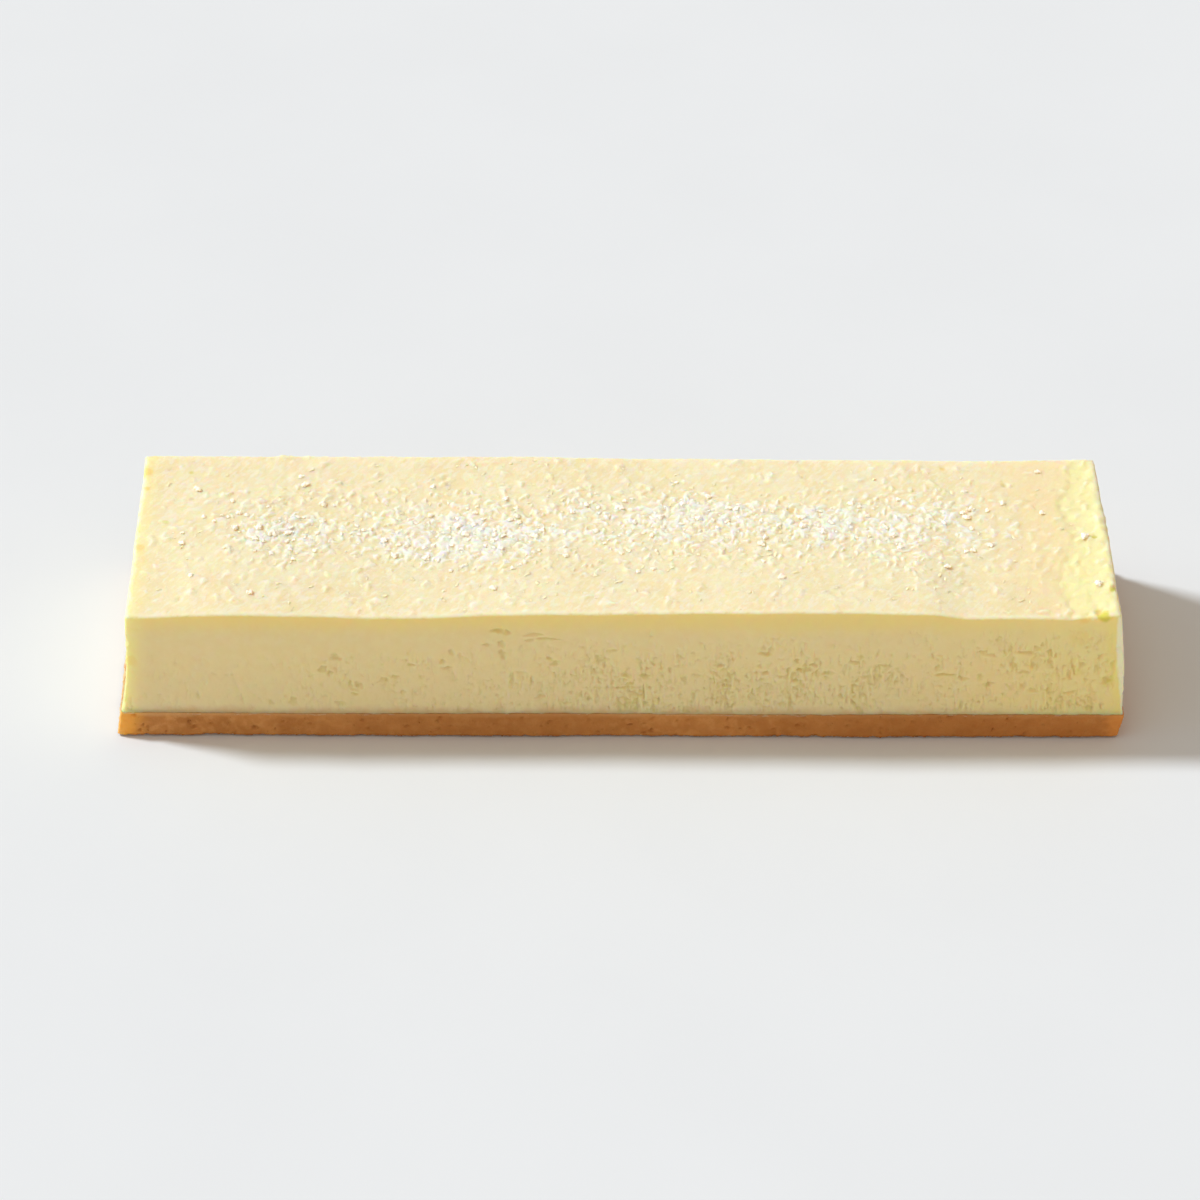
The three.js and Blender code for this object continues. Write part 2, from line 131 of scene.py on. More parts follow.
# Pits that stand out in the front face, as (x, height, half width, half height, depth).
FRONT_FACE_PITS = (
    (-58.6, 16.2, 0.9, 0.7, 0.5), (-57.2, 15.4, 0.6, 0.4, 0.35),
    (-53.2, 12.4, 0.5, 0.8, 0.4), (-51.6, 12.2, 0.7, 0.9, 0.55), (-52.3, 11.2, 1.0, 0.4, 0.3),
    (-46.8, 13.6, 1.1, 0.5, 0.35), (-44.4, 14.4, 0.9, 0.5, 0.3), (-43.0, 10.6, 0.5, 0.5, 0.35),
    (-41.2, 17.4, 0.7, 0.4, 0.3), (-35.0, 18.3, 0.5, 0.6, 0.4), (-34.4, 16.6, 0.8, 0.5, 0.3),
    (-33.2, 20.4, 0.6, 0.7, 0.35), (-31.5, 19.2, 0.5, 0.9, 0.3),
    (-24.0, 25.6, 1.1, 0.6, 0.5), (-22.2, 25.2, 0.8, 0.5, 0.4), (-23.4, 22.4, 0.6, 0.9, 0.4),
    (-23.2, 19.9, 0.7, 1.1, 0.5), (-26.3, 22.3, 0.9, 0.4, 0.3), (-17.8, 23.2, 0.8, 0.5, 0.35),
    (-14.5, 23.7, 2.3, 0.25, 0.35), (-17.2, 24.8, 1.6, 0.5, 0.3), (-21.4, 13.6, 0.5, 1.6, 0.45),
    (-17.6, 13.0, 0.4, 1.3, 0.4), (-19.5, 15.4, 1.2, 0.4, 0.3),
    (-1.6, 20.9, 0.8, 0.4, 0.3), (-4.3, 18.3, 0.5, 1.3, 0.4), (-5.0, 15.6, 0.4, 0.8, 0.35),
    (1.0, 14.9, 0.9, 0.7, 0.5), (3.6, 18.8, 0.5, 0.5, 0.3), (5.3, 16.3, 0.4, 0.4, 0.3),
    (4.6, 10.4, 0.3, 1.6, 0.5), (4.9, 7.9, 0.5, 0.6, 0.4), (1.2, 11.8, 3.2, 0.3, 0.3),
    (12.6, 13.8, 0.6, 0.8, 0.4), (17.8, 15.8, 0.4, 0.4, 0.3), (20.1, 12.6, 0.35, 1.4, 0.35),
    (28.1, 21.8, 0.6, 0.5, 0.35), (28.4, 20.3, 1.1, 0.5, 0.5), (29.4, 21.2, 0.5, 1.0, 0.35),
    (34.7, 18.6, 0.5, 0.5, 0.4), (35.8, 16.4, 1.3, 0.5, 0.5), (38.0, 17.6, 0.7, 0.5, 0.35),
    (34.3, 15.4, 0.6, 0.9, 0.3), (47.0, 19.4, 0.7, 0.6, 0.35), (45.9, 18.2, 1.1, 0.5, 0.4),
    (52.4, 17.4, 1.7, 0.3, 0.3), (63.6, 15.2, 1.8, 0.35, 0.4), (62.2, 16.6, 0.5, 0.9, 0.35),
    (67.6, 14.3, 0.8, 0.6, 0.35), (70.8, 14.7, 0.6, 0.8, 0.4), (72.6, 20.1, 0.8, 0.4, 0.3),
    (79.8, 20.6, 1.7, 0.45, 0.4), (81.6, 21.6, 0.6, 0.8, 0.35), (84.3, 20.2, 0.6, 0.9, 0.35),
    (79.3, 12.4, 0.6, 1.2, 0.4), (81.4, 11.4, 0.9, 0.5, 0.4), (88.4, 15.2, 0.6, 0.9, 0.45),
    (90.6, 17.6, 0.7, 0.6, 0.35), (88.8, 10.8, 1.2, 0.5, 0.4), (95.6, 13.8, 0.9, 0.8, 0.5),
    (93.6, 16.6, 0.5, 0.7, 0.4), (96.8, 17.6, 0.5, 1.1, 0.4), (-64.6, 8.4, 0.9, 0.9, 0.4),
    (-69.0, 7.9, 0.7, 0.5, 0.3), (-55.2, 7.9, 1.3, 0.5, 0.35), (-83.4, 9.6, 0.4, 0.8, 0.25),
)

# Dimples in the top: a row across it at its left, and a few by the sugar, as (x, y, radius, depth).
TOP_DIMPLES = (
    (-68.0, 25.2, 0.7, 0.35), (-67.9, 21.6, 0.5, 0.25), (-67.6, 18.4, 0.6, 0.3),
    (-67.3, 14.6, 0.6, 0.25), (-67.1, 9.7, 0.8, 0.35), (94.7, -0.6, 0.9, 0.5),
    (34.6, 7.4, 1.0, 0.3), (31.6, 2.1, 0.8, 0.4), (-86.0, 11.0, 0.9, 0.25),
    (-91.0, 21.0, 0.8, 0.25), (65.8, 23.5, 0.7, 0.25), (93.4, -24.4, 1.2, 0.6),
    (91.4, -25.0, 0.8, 0.4), (97.1, -17.5, 0.9, 0.5), (77.5, 2.6, 0.7, 0.3),
)

# The bump on the back edge, as (x, y, rise), and how far it reaches along X and Y.
BACK_EDGE_BUMP = (-68.2, 25.6, 0.5)
BACK_EDGE_BUMP_REACH = (1.6, 1.1)

# At the right end the skin is torn off as far as this edge, given as (y, x).
TORN_EDGE = (
    (-26, 87.8), (-20.2, 87.3), (-14.7, 86.0), (-9.7, 87.4), (-5.4, 89.0), (0.2, 90.0),
    (3.4, 89.4), (6.6, 88.6), (9.8, 87.9), (15.6, 89.9), (19.5, 90.8), (25.4, 91.5),
)
TORN_DEPTH = 0.25

# Where the curd or the skin has turned orange or greenish, as ((x, y, z), radius, strength).
ORANGE_SPOTS = (
    ((94.1, -25.2, 29.6), 1.6, 0.5), ((90.6, -26.2, 29.0), 1.6, 0.3), ((65.5, 22.8, 29.2), 1.1, 0.5),
    ((34.4, 7.8, 29.9), 1.1, 0.6), ((89.8, -26.9, 24.3), 2.8, 0.22), ((80.8, -27.2, 17.5), 1.5, 0.35),
    ((-96.0, 20.7, 29.7), 2.0, 0.55), ((-95.3, 14.8, 29.6), 1.1, 0.5), ((-95.6, -4.0, 29.0), 1.4, 0.4),
    ((-96.0, -26.4, 18.0), 1.5, 0.25),
)
GREEN_SPOTS = (
    ((96.8, -18.0, 29.8), 1.0, 0.9), ((96.0, -27.2, 13.5), 2.0, 0.45), ((94.6, -0.6, 29.2), 1.0, 0.6),
    ((94.6, -26.0, 29.3), 1.7, 0.85),
    ((90.0, -27.2, 16.0), 2.0, 0.3), ((-90.9, 3.7, 29.7), 1.0, 0.5), ((-86.8, 20.0, 29.8), 0.9, 0.5),
)

# How far the ragged lower edge of the cheese hangs over the base.
LOWER_EDGE_DROP = 0.45

# The ragged tears in the cut curd, as (stretch, shift, size, octaves, share of the larger patches,
# depth, noise where a tear starts, noise where it is full, how much sooner where tears are many).
CURD_TEARS = (
    ((1, 1, 1), 0, 0.95, 3, 0.5, 0.24, 0.58, 0.88, 0.28),
    ((1.25, 1.25, 0.55), 90, 2.3, 3, 0.4, 0.24, 0.42, 0.68, 0.2),
    ((1.9, 1.9, 0.45), 40, 1.1, 2, 0.45, 0.16, 0.4, 0.62, 0.2),
)
PATCH_SIZE = 6

# A front pit that stands out is drawn this much wider and deeper than its solid's.
NAMED_PIT_WIDER = 1.15
NAMED_PIT_DEEPER = 1.25

# How far the outline of a pit or a flake waves in and out, two, three and five times round.
OUTLINE_WAVES = (2, 3, 5)
PIT_WAVES = (0.2, 0.16, 0.1)
FLAKE_WAVES = (0.22, 0.2, 0.12)

# How many cells the coarse blocks have along X, along Y and up their faces, and into how many
# more each is cut.
CELLS_LENGTH = 83
CELLS_DEPTH = 22
CHEESE_ROWS = 10
BASE_ROWS = 4
CHEESE_CUTS = 5
BASE_CUTS = 6

# The part of the top that is cut finest, under the sugar, as (middle, reach) along X and Y.
SUGARED_X = (-6, 76)
SUGARED_Y = (2, 15)

# Where small sugar may lie on the top, from the left to the right and from the front to the back.
STREWN_X = (-94.5, 96.5)
STREWN_Y = (-25.3, 25.6)

ALL_ROUND = 6.28

# Where the camera points, in millimetres, and how far it is turned and tilted, in degrees.
CAMERA_AIM = (-5.1, -2.6, 15)
CAMERA_YAW = 0.09
CAMERA_ROLL = 0.2


# ------------------------------------------------------------------------------ the bar's form

def seeded_draws(seed):
    """Repeatable draws between 0 and 1, the same as those that place the solids' lumps."""
    state = seed
    while True:
        state = state * 16807 % 2147483647
        yield (state - 1) / 2147483646


def skip_draws(draws, count):
    for _ in range(count):
        next(draws)


def lerp(low, high, share):
    return low + (high - low) * share


def smoothstep(value, low, high):
    share = np.clip((value - low) / (high - low), 0, 1)
    return share * share * (3 - 2 * share)


def value_along(points, x):
    """A smooth line through a few (x, value) points."""
    xs, values = np.array(points, float).T
    after = np.clip(np.searchsorted(xs, x, side="right"), 1, len(xs) - 1)
    before = after - 1
    return lerp(values[before], values[after], smoothstep(x, xs[before], xs[after]))


def wander(along, phase):
    """A slow wave between about -1 and 1 that never quite repeats."""
    long = np.sin(along * 0.071 + phase)
    middle = np.sin(along * 0.173 + 2.3 * phase)
    short = np.sin(along * 0.41 + 3.7 * phase)
    return 0.5 * long + 0.32 * middle + 0.18 * short


def towards_back(y):
    """0 at the front face, 1 at the back."""
    return np.clip(y / BAR_DEPTH + 0.5, 0, 1)


def top_level(x, y):
    """Height of the top at a place."""
    front, back = value_along(FRONT_EDGE_LEVEL, x), value_along(BACK_EDGE_LEVEL, x)
    return BAR_HEIGHT + lerp(front, back, towards_back(y)) + TOP_WANDER * wander(x + 2.1 * y, 1.3)


def layer_line(x, y):
    """Height of the line between the two layers at a place."""
    return BASE_THICKNESS + LAYER_LINE_WANDER * wander(x + 1.7 * y, 0.4)


def face_insets(x, y, z):
    """How far the left, right, front and back faces stand in from the bar's widest."""
    down = np.clip(1 - z / BAR_HEIGHT, 0, 1)
    above_base = (z - BASE_THICKNESS) / FOOT_SPREAD_HEIGHT
    spread = FOOT_SPREAD * np.clip(1 - above_base, 0, 1) ** 2
    undercut = RIGHT_UNDERCUT * np.clip(1 - z / BASE_THICKNESS, 0, 1)
    side_lean = 1 - down ** SIDE_LEAN_POWER
    still = FOOT_SPREAD + FACE_WANDER - spread
    left = LEFT_LEAN * (1 - down ** LEFT_LEAN_POWER) + FACE_WANDER * wander(y + z, 5.1) + still
    right_lean = RIGHT_LEAN * (1 - down) ** RIGHT_LEAN_POWER + RIGHT_SKEW * towards_back(y)
    right = right_lean + undercut + FACE_WANDER * wander(y + z, 2.6) + still
    front = FRONT_LEAN * side_lean + FACE_WANDER * wander(x + 0.8 * z, 0.9) + still
    back = BACK_LEAN * side_lean + FACE_WANDER * wander(x + 0.8 * z, 4.2) + still
    return left, right, front, back


def lean_in(points):
    """Moves points of the square-cut bar to their places in the real one."""
    x, y, z = points.T
    left, right, front, back = face_insets(x, y, z)
    leant_x = lerp(left - HALF_LENGTH, HALF_LENGTH - right, x / BAR_LENGTH + 0.5)
    leant_y = lerp(front - HALF_DEPTH, HALF_DEPTH - back, y / BAR_DEPTH + 0.5)
    return np.column_stack((leant_x, leant_y, z))


def round_edges(points, radius, rounded_top):
    """Pulls the points near a box's edges onto arcs of one radius."""
    core = points.copy()
    core[:, 0] = np.clip(points[:, 0], radius - HALF_LENGTH, HALF_LENGTH - radius)
    core[:, 1] = np.clip(points[:, 1], radius - HALF_DEPTH, HALF_DEPTH - radius)
    if rounded_top:
        core[:, 2] = np.minimum(points[:, 2], BAR_HEIGHT - radius)
    out = points - core
    length = np.linalg.norm(out, axis=1, keepdims=True)
    reach = np.abs(out).max(axis=1, keepdims=True)
    return core + out / np.where(length > 0, length, 1) * reach


def point_on_face(face, share, z, inward=0.0):
    """A point at a share of an upright face's length and at a height."""
    x, y = lerp(-HALF_LENGTH, HALF_LENGTH, share), lerp(-HALF_DEPTH, HALF_DEPTH, share)
    places = {
        "front": ((x, -HALF_DEPTH), (0, 1)),
        "back": ((x, HALF_DEPTH), (0, -1)),
        "left": ((-HALF_LENGTH, y), (1, 0)),
        "right": ((HALF_LENGTH, y), (-1, 0)),
    }
    (face_x, face_y), (in_x, in_y) = places[face]
    point = lean_in(np.array([[face_x, face_y, z]]))[0]
    return point + inward * np.array([in_x, in_y, 0])


def share_along_front(x, z):
    """The share of the front face's length at which a point of a height stands at x."""
    left, right, _, _ = face_insets(x, -HALF_DEPTH, z)
    return (x + HALF_LENGTH - left) / (BAR_LENGTH - left - right)


def torn_share(x, y, fade=0.9):
    """1 where the skin is torn off at the right end, fading to 0 over the rest of the top."""
    ragged = 0.45 * wander(9 * y, 3.3) + 0.3 * wander(26 * y, 1.1)
    return smoothstep(x - value_along(TORN_EDGE, y) - ragged, -0.5 * fade, 0.5 * fade)


# ------------------------------------------------------------------------------ mesh handling

def start_afresh():
    """Leaves edit mode and selects nothing."""
    if bpy.context.mode != "OBJECT":
        bpy.ops.object.mode_set(mode="OBJECT")
    bpy.ops.object.select_all(action="DESELECT")


def added_piece(name, stretch=(1, 1, 1)):
    """Names and stretches the primitive just added, and puts its place and size in its mesh."""
    piece = bpy.context.object
    piece.scale = stretch
    bpy.ops.object.transform_apply(location=True, rotation=True, scale=True)
    piece.name = piece.data.name = name
    return piece


def pick(kind, wanted):
    """In edit mode, selects the edges or faces whose middle and element pass a test."""
    bpy.ops.mesh.select_mode(type=kind)
    bpy.ops.mesh.select_all(action="DESELECT")
    live = bmesh.from_edit_mesh(bpy.context.edit_object.data)
    for element in live.faces if kind == "FACE" else live.edges:
        middle = sum((corner.co for corner in element.verts), Vector()) / len(element.verts)
        if wanted(middle / MM, element):
            element.select_set(True)
    live.select_flush_mode()
    bmesh.update_edit_mesh(bpy.context.edit_object.data)


def extrude_to(heights):
    """Extrudes the selection straight up or down to one height after another."""
    for start, end in zip(heights, heights[1:]):
        move = {"value": (0, 0, (end - start) * MM)}
        bpy.ops.mesh.extrude_region_move(TRANSFORM_OT_translate=move)


def draw_in_ring(band):
    """Extrudes the selected outline in place and draws it in all round by a band."""
    bpy.ops.mesh.extrude_region_move(TRANSFORM_OT_translate={"value": (0, 0, 0)})
    shares = (1 - band / HALF_LENGTH, 1 - band / HALF_DEPTH, 1)
    bpy.ops.transform.resize(value=shares, center_override=(0, 0, 0))


def points_of(piece):
    points = np.empty(len(piece.data.vertices) * 3, np.float32)
    piece.data.vertices.foreach_get("co", points)
    return points.reshape(-1, 3).astype(float) / MM


def normals_of(piece):
    normals = np.empty(len(piece.data.vertices) * 3, np.float32)
    piece.data.vertex_normals.foreach_get("vector", normals)
    return normals.reshape(-1, 3).astype(float)


def move_points(piece, points):
    piece.data.vertices.foreach_set("co", (points * MM).astype(np.float32).ravel())
    piece.data.update()


def store(piece, name, values):
    """Keeps one number per vertex on the mesh, for the piece's material."""
    attribute = piece.data.attributes.new(name, "FLOAT", "POINT")
    attribute.data.foreach_set("value", values.astype(np.float32))


def weigh(piece, name, weights):
    """A vertex group with one weight per vertex, in steps of a twentieth."""
    group = piece.vertex_groups.new(name=name)
    steps = np.round(np.clip(weights, 0, 1) * 20).astype(int)
    for step in range(1, 21):
        members = np.flatnonzero(steps == step)
        if len(members):
            group.add(members.tolist(), step / 20, "REPLACE")
    return group.name


def apply_modifier(piece, kind, **settings):
    """Adds a modifier, sets it and applies it."""
    modifier = piece.modifiers.new(kind.title(), kind)
    for name, value in settings.items():
        setattr(modifier, name, value)
    with bpy.context.temp_override(object=piece, active_object=piece):
        bpy.ops.object.modifier_apply(modifier=modifier.name)


def roughen(piece, size, strength, group, depth):
    """Moves a surface in and out by clouds of one size, all in millimetres."""
    texture = bpy.data.textures.new(f"{piece.name}_clouds", "CLOUDS")
    texture.noise_scale = size * MM
    texture.noise_depth = depth
    apply_modifier(
        piece, "DISPLACE", texture=texture, texture_coords="LOCAL", mid_level=0.5,
        strength=strength * MM, vertex_group=group,
    )
    bpy.data.textures.remove(texture)


def finish_mesh(piece, angle):
    """Closes the work on a mesh: faces out, smooth, with creases kept past an angle."""
    start_afresh()
    piece.vertex_groups.clear()
    piece.select_set(True)
    bpy.context.view_layer.objects.active = piece
    bpy.ops.object.mode_set(mode="EDIT")
    bpy.ops.mesh.select_all(action="SELECT")
    bpy.ops.mesh.normals_make_consistent(inside=False)
    bpy.ops.object.mode_set(mode="OBJECT")
    bpy.ops.object.shade_smooth_by_angle(angle=math.radians(angle))
    start_afresh()


def give_finish(piece, material):
    piece.data.materials.clear()
    piece.data.materials.append(material)


# ------------------------------------------------------------------------------ curd and crumb

RIGHTWARD, BACKWARD, UPWARD = np.eye(3)


def pit(place, along, up, half_long, half_high, deep):
    """A pit, or the patch of a flake: its middle, its two directions and its half sizes."""
    return {
        "place": place, "along": along, "up": up,
        "long": half_long, "high": half_high, "deep": deep,
    }


def face_pit(face, share, height, half_long, half_high, deep):
    """A pit in an upright face, at a share of its length and a height."""
    along = RIGHTWARD if face in ("front", "back") else BACKWARD
    return pit(point_on_face(face, share, height), along, UPWARD, half_long, half_high, deep)


def top_pit(x, y, half_long, half_wide, deep):
    """A dimple in the top."""
    place = np.array([x, y, top_level(x, y)])
    return pit(place, RIGHTWARD, BACKWARD, half_long, half_wide, deep)


def solid_face_pits():
    """The pits that the cheese solid has, drawn in the same order."""
    draws = seeded_draws(PIT_SEED)
    pits = []
    for face, count in FACE_PITS.items():
        for _ in range(count):
            along_x = face in ("front", "back")
            share = lerp(0.1, 0.97, next(draws) ** 0.6) if along_x else lerp(0.12, 0.88, next(draws))
            height = lerp(BASE_THICKNESS + 2.2, 0.72 * BAR_HEIGHT, next(draws) ** 1.3)
            long = PIT_RADIUS * (0.6 + 0.6 * next(draws))
            skip_draws(draws, LUMP_DRAWS)
            pits.append(face_pit(face, share, height, long, 0.6 * long, 0.5 * long))
    return pits


def fine_face_pits(count, size):
    """Small torn pits in short chains, most of them low and towards the right of the front."""
    rng = np.random.default_rng(PIT_SEED)
    pits = []
    while len(pits) < count:
        face = rng.choice(("front", "front", "front", "back", "back", "right", "left"))
        face_length = BAR_LENGTH if face in ("front", "back") else BAR_DEPTH
        share, high = rng.random(), rng.random()
        height = lerp(BASE_THICKNESS + 0.8, BAR_HEIGHT - 4, high)
        wanted = (1 - smoothstep(high, 0.35, 0.95)) * (0.12 + 0.88 * smoothstep(share, 0.1, 0.75))
        if face == "front" and rng.random() > wanted:
            continue
        if face != "front" and rng.random() > 1 - smoothstep(high, 0.4, 1):
            continue
        heading = rng.normal(0.5, 0.9)
        step = np.array([math.cos(heading), math.sin(heading)]) * size * 1.3
        spot = np.array([share * face_length, height])
        for _ in range(rng.integers(1, 5)):
            share = spot[0] / face_length
            if 0.015 < share < 0.985 and BASE_THICKNESS + 0.7 < spot[1] < BAR_HEIGHT - 3.4:
                long = size * rng.uniform(0.45, 1.25)
                high_share = rng.uniform(0.35, 0.95)
                deep = rng.uniform(0.35, 0.75) * long * high_share
                pits.append(face_pit(face, share, spot[1], long, high_share * long, deep))
            spot = spot + step * rng.uniform(0.7, 1.3) + rng.normal(0, 0.3 * size, 2)
    return pits


def named_pits():
    """The pits and dimples that stand out, each at its own place."""
    pits = []
    for x, height, half_wide, half_high, deep in FRONT_FACE_PITS:
        pits.append(face_pit(
            "front", share_along_front(x, height), height,
            NAMED_PIT_WIDER * half_wide, NAMED_PIT_WIDER * half_high, NAMED_PIT_DEEPER * deep,
        ))
    for x, y, radius, deep in TOP_DIMPLES:
        pits.append(top_pit(x, y, radius, 0.8 * radius, deep))
    return pits


def solid_top_pits():
    """The dimples that the solid has in its top, drawn in the same order."""
    draws = seeded_draws(PIT_SEED + 1)
    pits = []
    for number in range(TOP_PITS):
        x = lerp(-88, 88, (number + next(draws)) / TOP_PITS)
        y = lerp(14, 21, next(draws)) * (1 if number % 2 else -1)
        radius = PIT_RADIUS * (0.5 + 0.4 * next(draws))
        skip_draws(draws, LUMP_DRAWS)
        pits.append(top_pit(x, y, radius, radius, 0.5 * radius))
    return pits


def near_points(points):
    """A search tree over a surface's points."""
    tree = kdtree.KDTree(len(points))
    for number, point in enumerate(points):
        tree.insert(point, number)
    tree.balance()
    return tree


def spread_over(one, points, found, waves, phases):
    """Where the points found near a pit or flake lie in it: across, above, and out to about 1."""
    index = np.array([number for _, number, _ in found], int)
    away = points[index] - one["place"]
    across, above = away @ one["along"] / one["long"], away @ one["up"] / one["high"]
    angle = np.arctan2(above, across)
    ragged = 1
    for wave, times, phase in zip(waves, OUTLINE_WAVES, phases):
        ragged = ragged + wave * np.sin(times * angle + phase)
    return index, across, above, np.hypot(across, above) / ragged


def sink_pits(points, pits, seed):
    """How deep each point lies in the pits. A pit is ragged, steep above and easy below."""
    rng = np.random.default_rng(seed)
    tree = near_points(points)
    sunk = np.zeros(len(points))
    for one in pits:
        phases = rng.uniform(0, 2 * math.pi, 3)
        found = tree.find_range(one["place"], 1.7 * max(one["long"], one["high"]))
        index, _, above, out = spread_over(one, points, found, PIT_WAVES, phases)
        bowl = np.clip(1 - out ** 2, 0, 1) ** 0.75
        scoop = bowl * np.clip(0.75 + 0.35 * above, 0.3, 1.1)
        lip = 0.16 * np.exp(-((out - 1.12) / 0.2) ** 2) * np.clip(-above, 0, 1)
        sunk[index] = np.where(
            scoop > 0, np.maximum(sunk[index], one["deep"] * scoop), sunk[index] - one["deep"] * lip
        )
    return sunk


def ragged_noise(points, size, octaves):
    """Noise between about -1 and 1 with features of one size in millimetres."""
    return np.array([
        noise.fractal(point, 0.9, 2.1, octaves) for point in (points / size).tolist()
    ])


def curd_tears(points):
    """How deep the cut curd is torn in ragged holes and grooves, most low and to the right."""
    x, _, z = points.T
    height = (z - BASE_THICKNESS) / (BAR_HEIGHT - BASE_THICKNESS)
    rightward = smoothstep(x, -75, 90)
    low = 1 - smoothstep(height, 0.25 + 0.3 * rightward, 0.8 + 0.15 * rightward)
    often = low * smoothstep(height, 0, 0.06) * (0.3 + 0.7 * smoothstep(x, -75, 15))
    left_end = smoothstep(-x, 95.5, 97.5) * (1 - smoothstep(height, 0.6, 1))
    often = np.maximum(often, 0.9 * (left_end * smoothstep(height, 0, 0.04)))
    patches = ragged_noise(points, PATCH_SIZE, 2)
    torn = 0
    for stretch, shift, size, octaves, patchy, deep, start, full, sooner in CURD_TEARS:
        tears = ragged_noise(points * stretch + shift, size, octaves) + patchy * patches
        torn = torn + deep * smoothstep(tears, start - sooner * often, full - sooner * often)
    return torn * smoothstep(often, 0, 0.2) * (0.4 + 0.6 * often)


def sugar_flakes(count, long, rise, cover, seed):
    """Flat flakes half melted into the top, most of them pointing away to the right."""
    rng = np.random.default_rng(seed)
    flakes = []
    for x, y in strewn(rng, count, cover):
        turn = math.radians(rng.normal(58, 38))
        half_long = rng.uniform(*long)
        along = np.array([math.cos(turn), math.sin(turn), 0])
        across = np.array([-math.sin(turn), math.cos(turn), 0])
        flake = pit(
            np.array([x, y, top_level(x, y)]), along, across, half_long,
            half_long * rng.uniform(0.45, 0.85), rng.uniform(*rise),
        )
        thick = smoothstep(cover(x, y), 0, 0.3)
        flakes.append({**flake, "white": rng.uniform(0.3, 0.92) * (0.45 + 0.55 * thick)})
    return flakes


def lay_flakes(points, flakes, seed):
    """How far the flakes raise each point of the top, and how white they make it."""
    rng = np.random.default_rng(seed)
    tree = near_points(points * (1, 1, 0))
    raised, white = np.zeros(len(points)), np.zeros(len(points))
    for one in flakes:
        phases = rng.uniform(0, 2 * math.pi, 3)
        found = tree.find_range(one["place"] * (1, 1, 0), 1.5 * one["long"])
        index, across, _, out = spread_over(one, points, found, FLAKE_WAVES, phases)
        height = np.clip(1.15 - out ** 2, 0, 1) ** 0.6 * (0.8 - 0.25 * across)
        raised[index] = np.maximum(raised[index], one["deep"] * height)
        cover = smoothstep(out, 1.12, 0.75) * one["white"]
        white[index] = np.maximum(white[index], cover)
    return raised, white


def rim_lumps():
    """Places and radii of the torn lumps along the right rim, as the cheese solid has them."""
    draws = seeded_draws(RIM_SEED)
    lumps = []
    for number in range(RIM_LUMPS):
        share = lerp(0.05, 0.95, (number + next(draws)) / RIM_LUMPS)
        radius = RIM_LUMP_RADIUS * (0.6 + 0.5 * next(draws))
        inset = RIM_LUMP_INSET * (0.7 + 0.5 * next(draws))
        place = point_on_face("right", share, BAR_HEIGHT, inset)
        skip_draws(draws, LUMP_DRAWS)
        lumps.append((place[0], place[1], radius))
    return lumps


def rim_rise(x, y):
    """How far the top is raised by the torn rim, and by the bump on the back edge."""
    rise = np.zeros(len(x))
    for lump_x, lump_y, radius in rim_lumps():
        away = ((x - lump_x) / radius) ** 2 + ((y - lump_y) / (1.5 * radius)) ** 2
        rise = np.maximum(rise, 0.38 * radius * np.exp(-1.3 * away ** 2))
    bump_x, bump_y, bump_rise = BACK_EDGE_BUMP
    along, across = BACK_EDGE_BUMP_REACH
    bump = bump_rise * np.exp(-((x - bump_x) / along) ** 2 - ((y - bump_y) / across) ** 2)
    return rise + bump


def cheese_block():
    """The block of cheese, closed, with the smallest faces at the front and under the sugar."""
    start_afresh()
    bpy.ops.mesh.primitive_grid_add(
        x_subdivisions=CELLS_LENGTH, y_subdivisions=CELLS_DEPTH, size=1,
        location=(0, 0, BAR_HEIGHT * MM),
    )
    piece = added_piece("cheese", (BAR_LENGTH * MM, BAR_DEPTH * MM, 1))
    bpy.ops.object.mode_set(mode="EDIT")
    pick("EDGE", lambda middle, edge: edge.is_boundary)
    extrude_to(np.linspace(BAR_HEIGHT, BASE_THICKNESS, CHEESE_ROWS + 1))
    draw_in_ring(LAYER_LINE_BAND)
    bpy.ops.mesh.edge_face_add()
    pick("FACE", lambda middle, face: len(face.verts) == 4)
    bpy.ops.mesh.subdivide(number_cuts=CHEESE_CUTS)
    pick("FACE", in_finest_part)
    bpy.ops.mesh.subdivide(number_cuts=1)
    bpy.ops.object.mode_set(mode="OBJECT")
    return piece


def in_finest_part(middle, face):
    """Whether a face of the square block is on the front, or on the top under the sugar."""
    on_front = middle.y < 0.02 - HALF_DEPTH and middle.z > BASE_THICKNESS
    on_top = middle.z > BAR_HEIGHT - 0.01
    near_x = abs(middle.x - SUGARED_X[0]) < SUGARED_X[1]
    near_y = abs(middle.y - SUGARED_Y[0]) < SUGARED_Y[1]
    return on_front or (on_top and near_x and near_y)


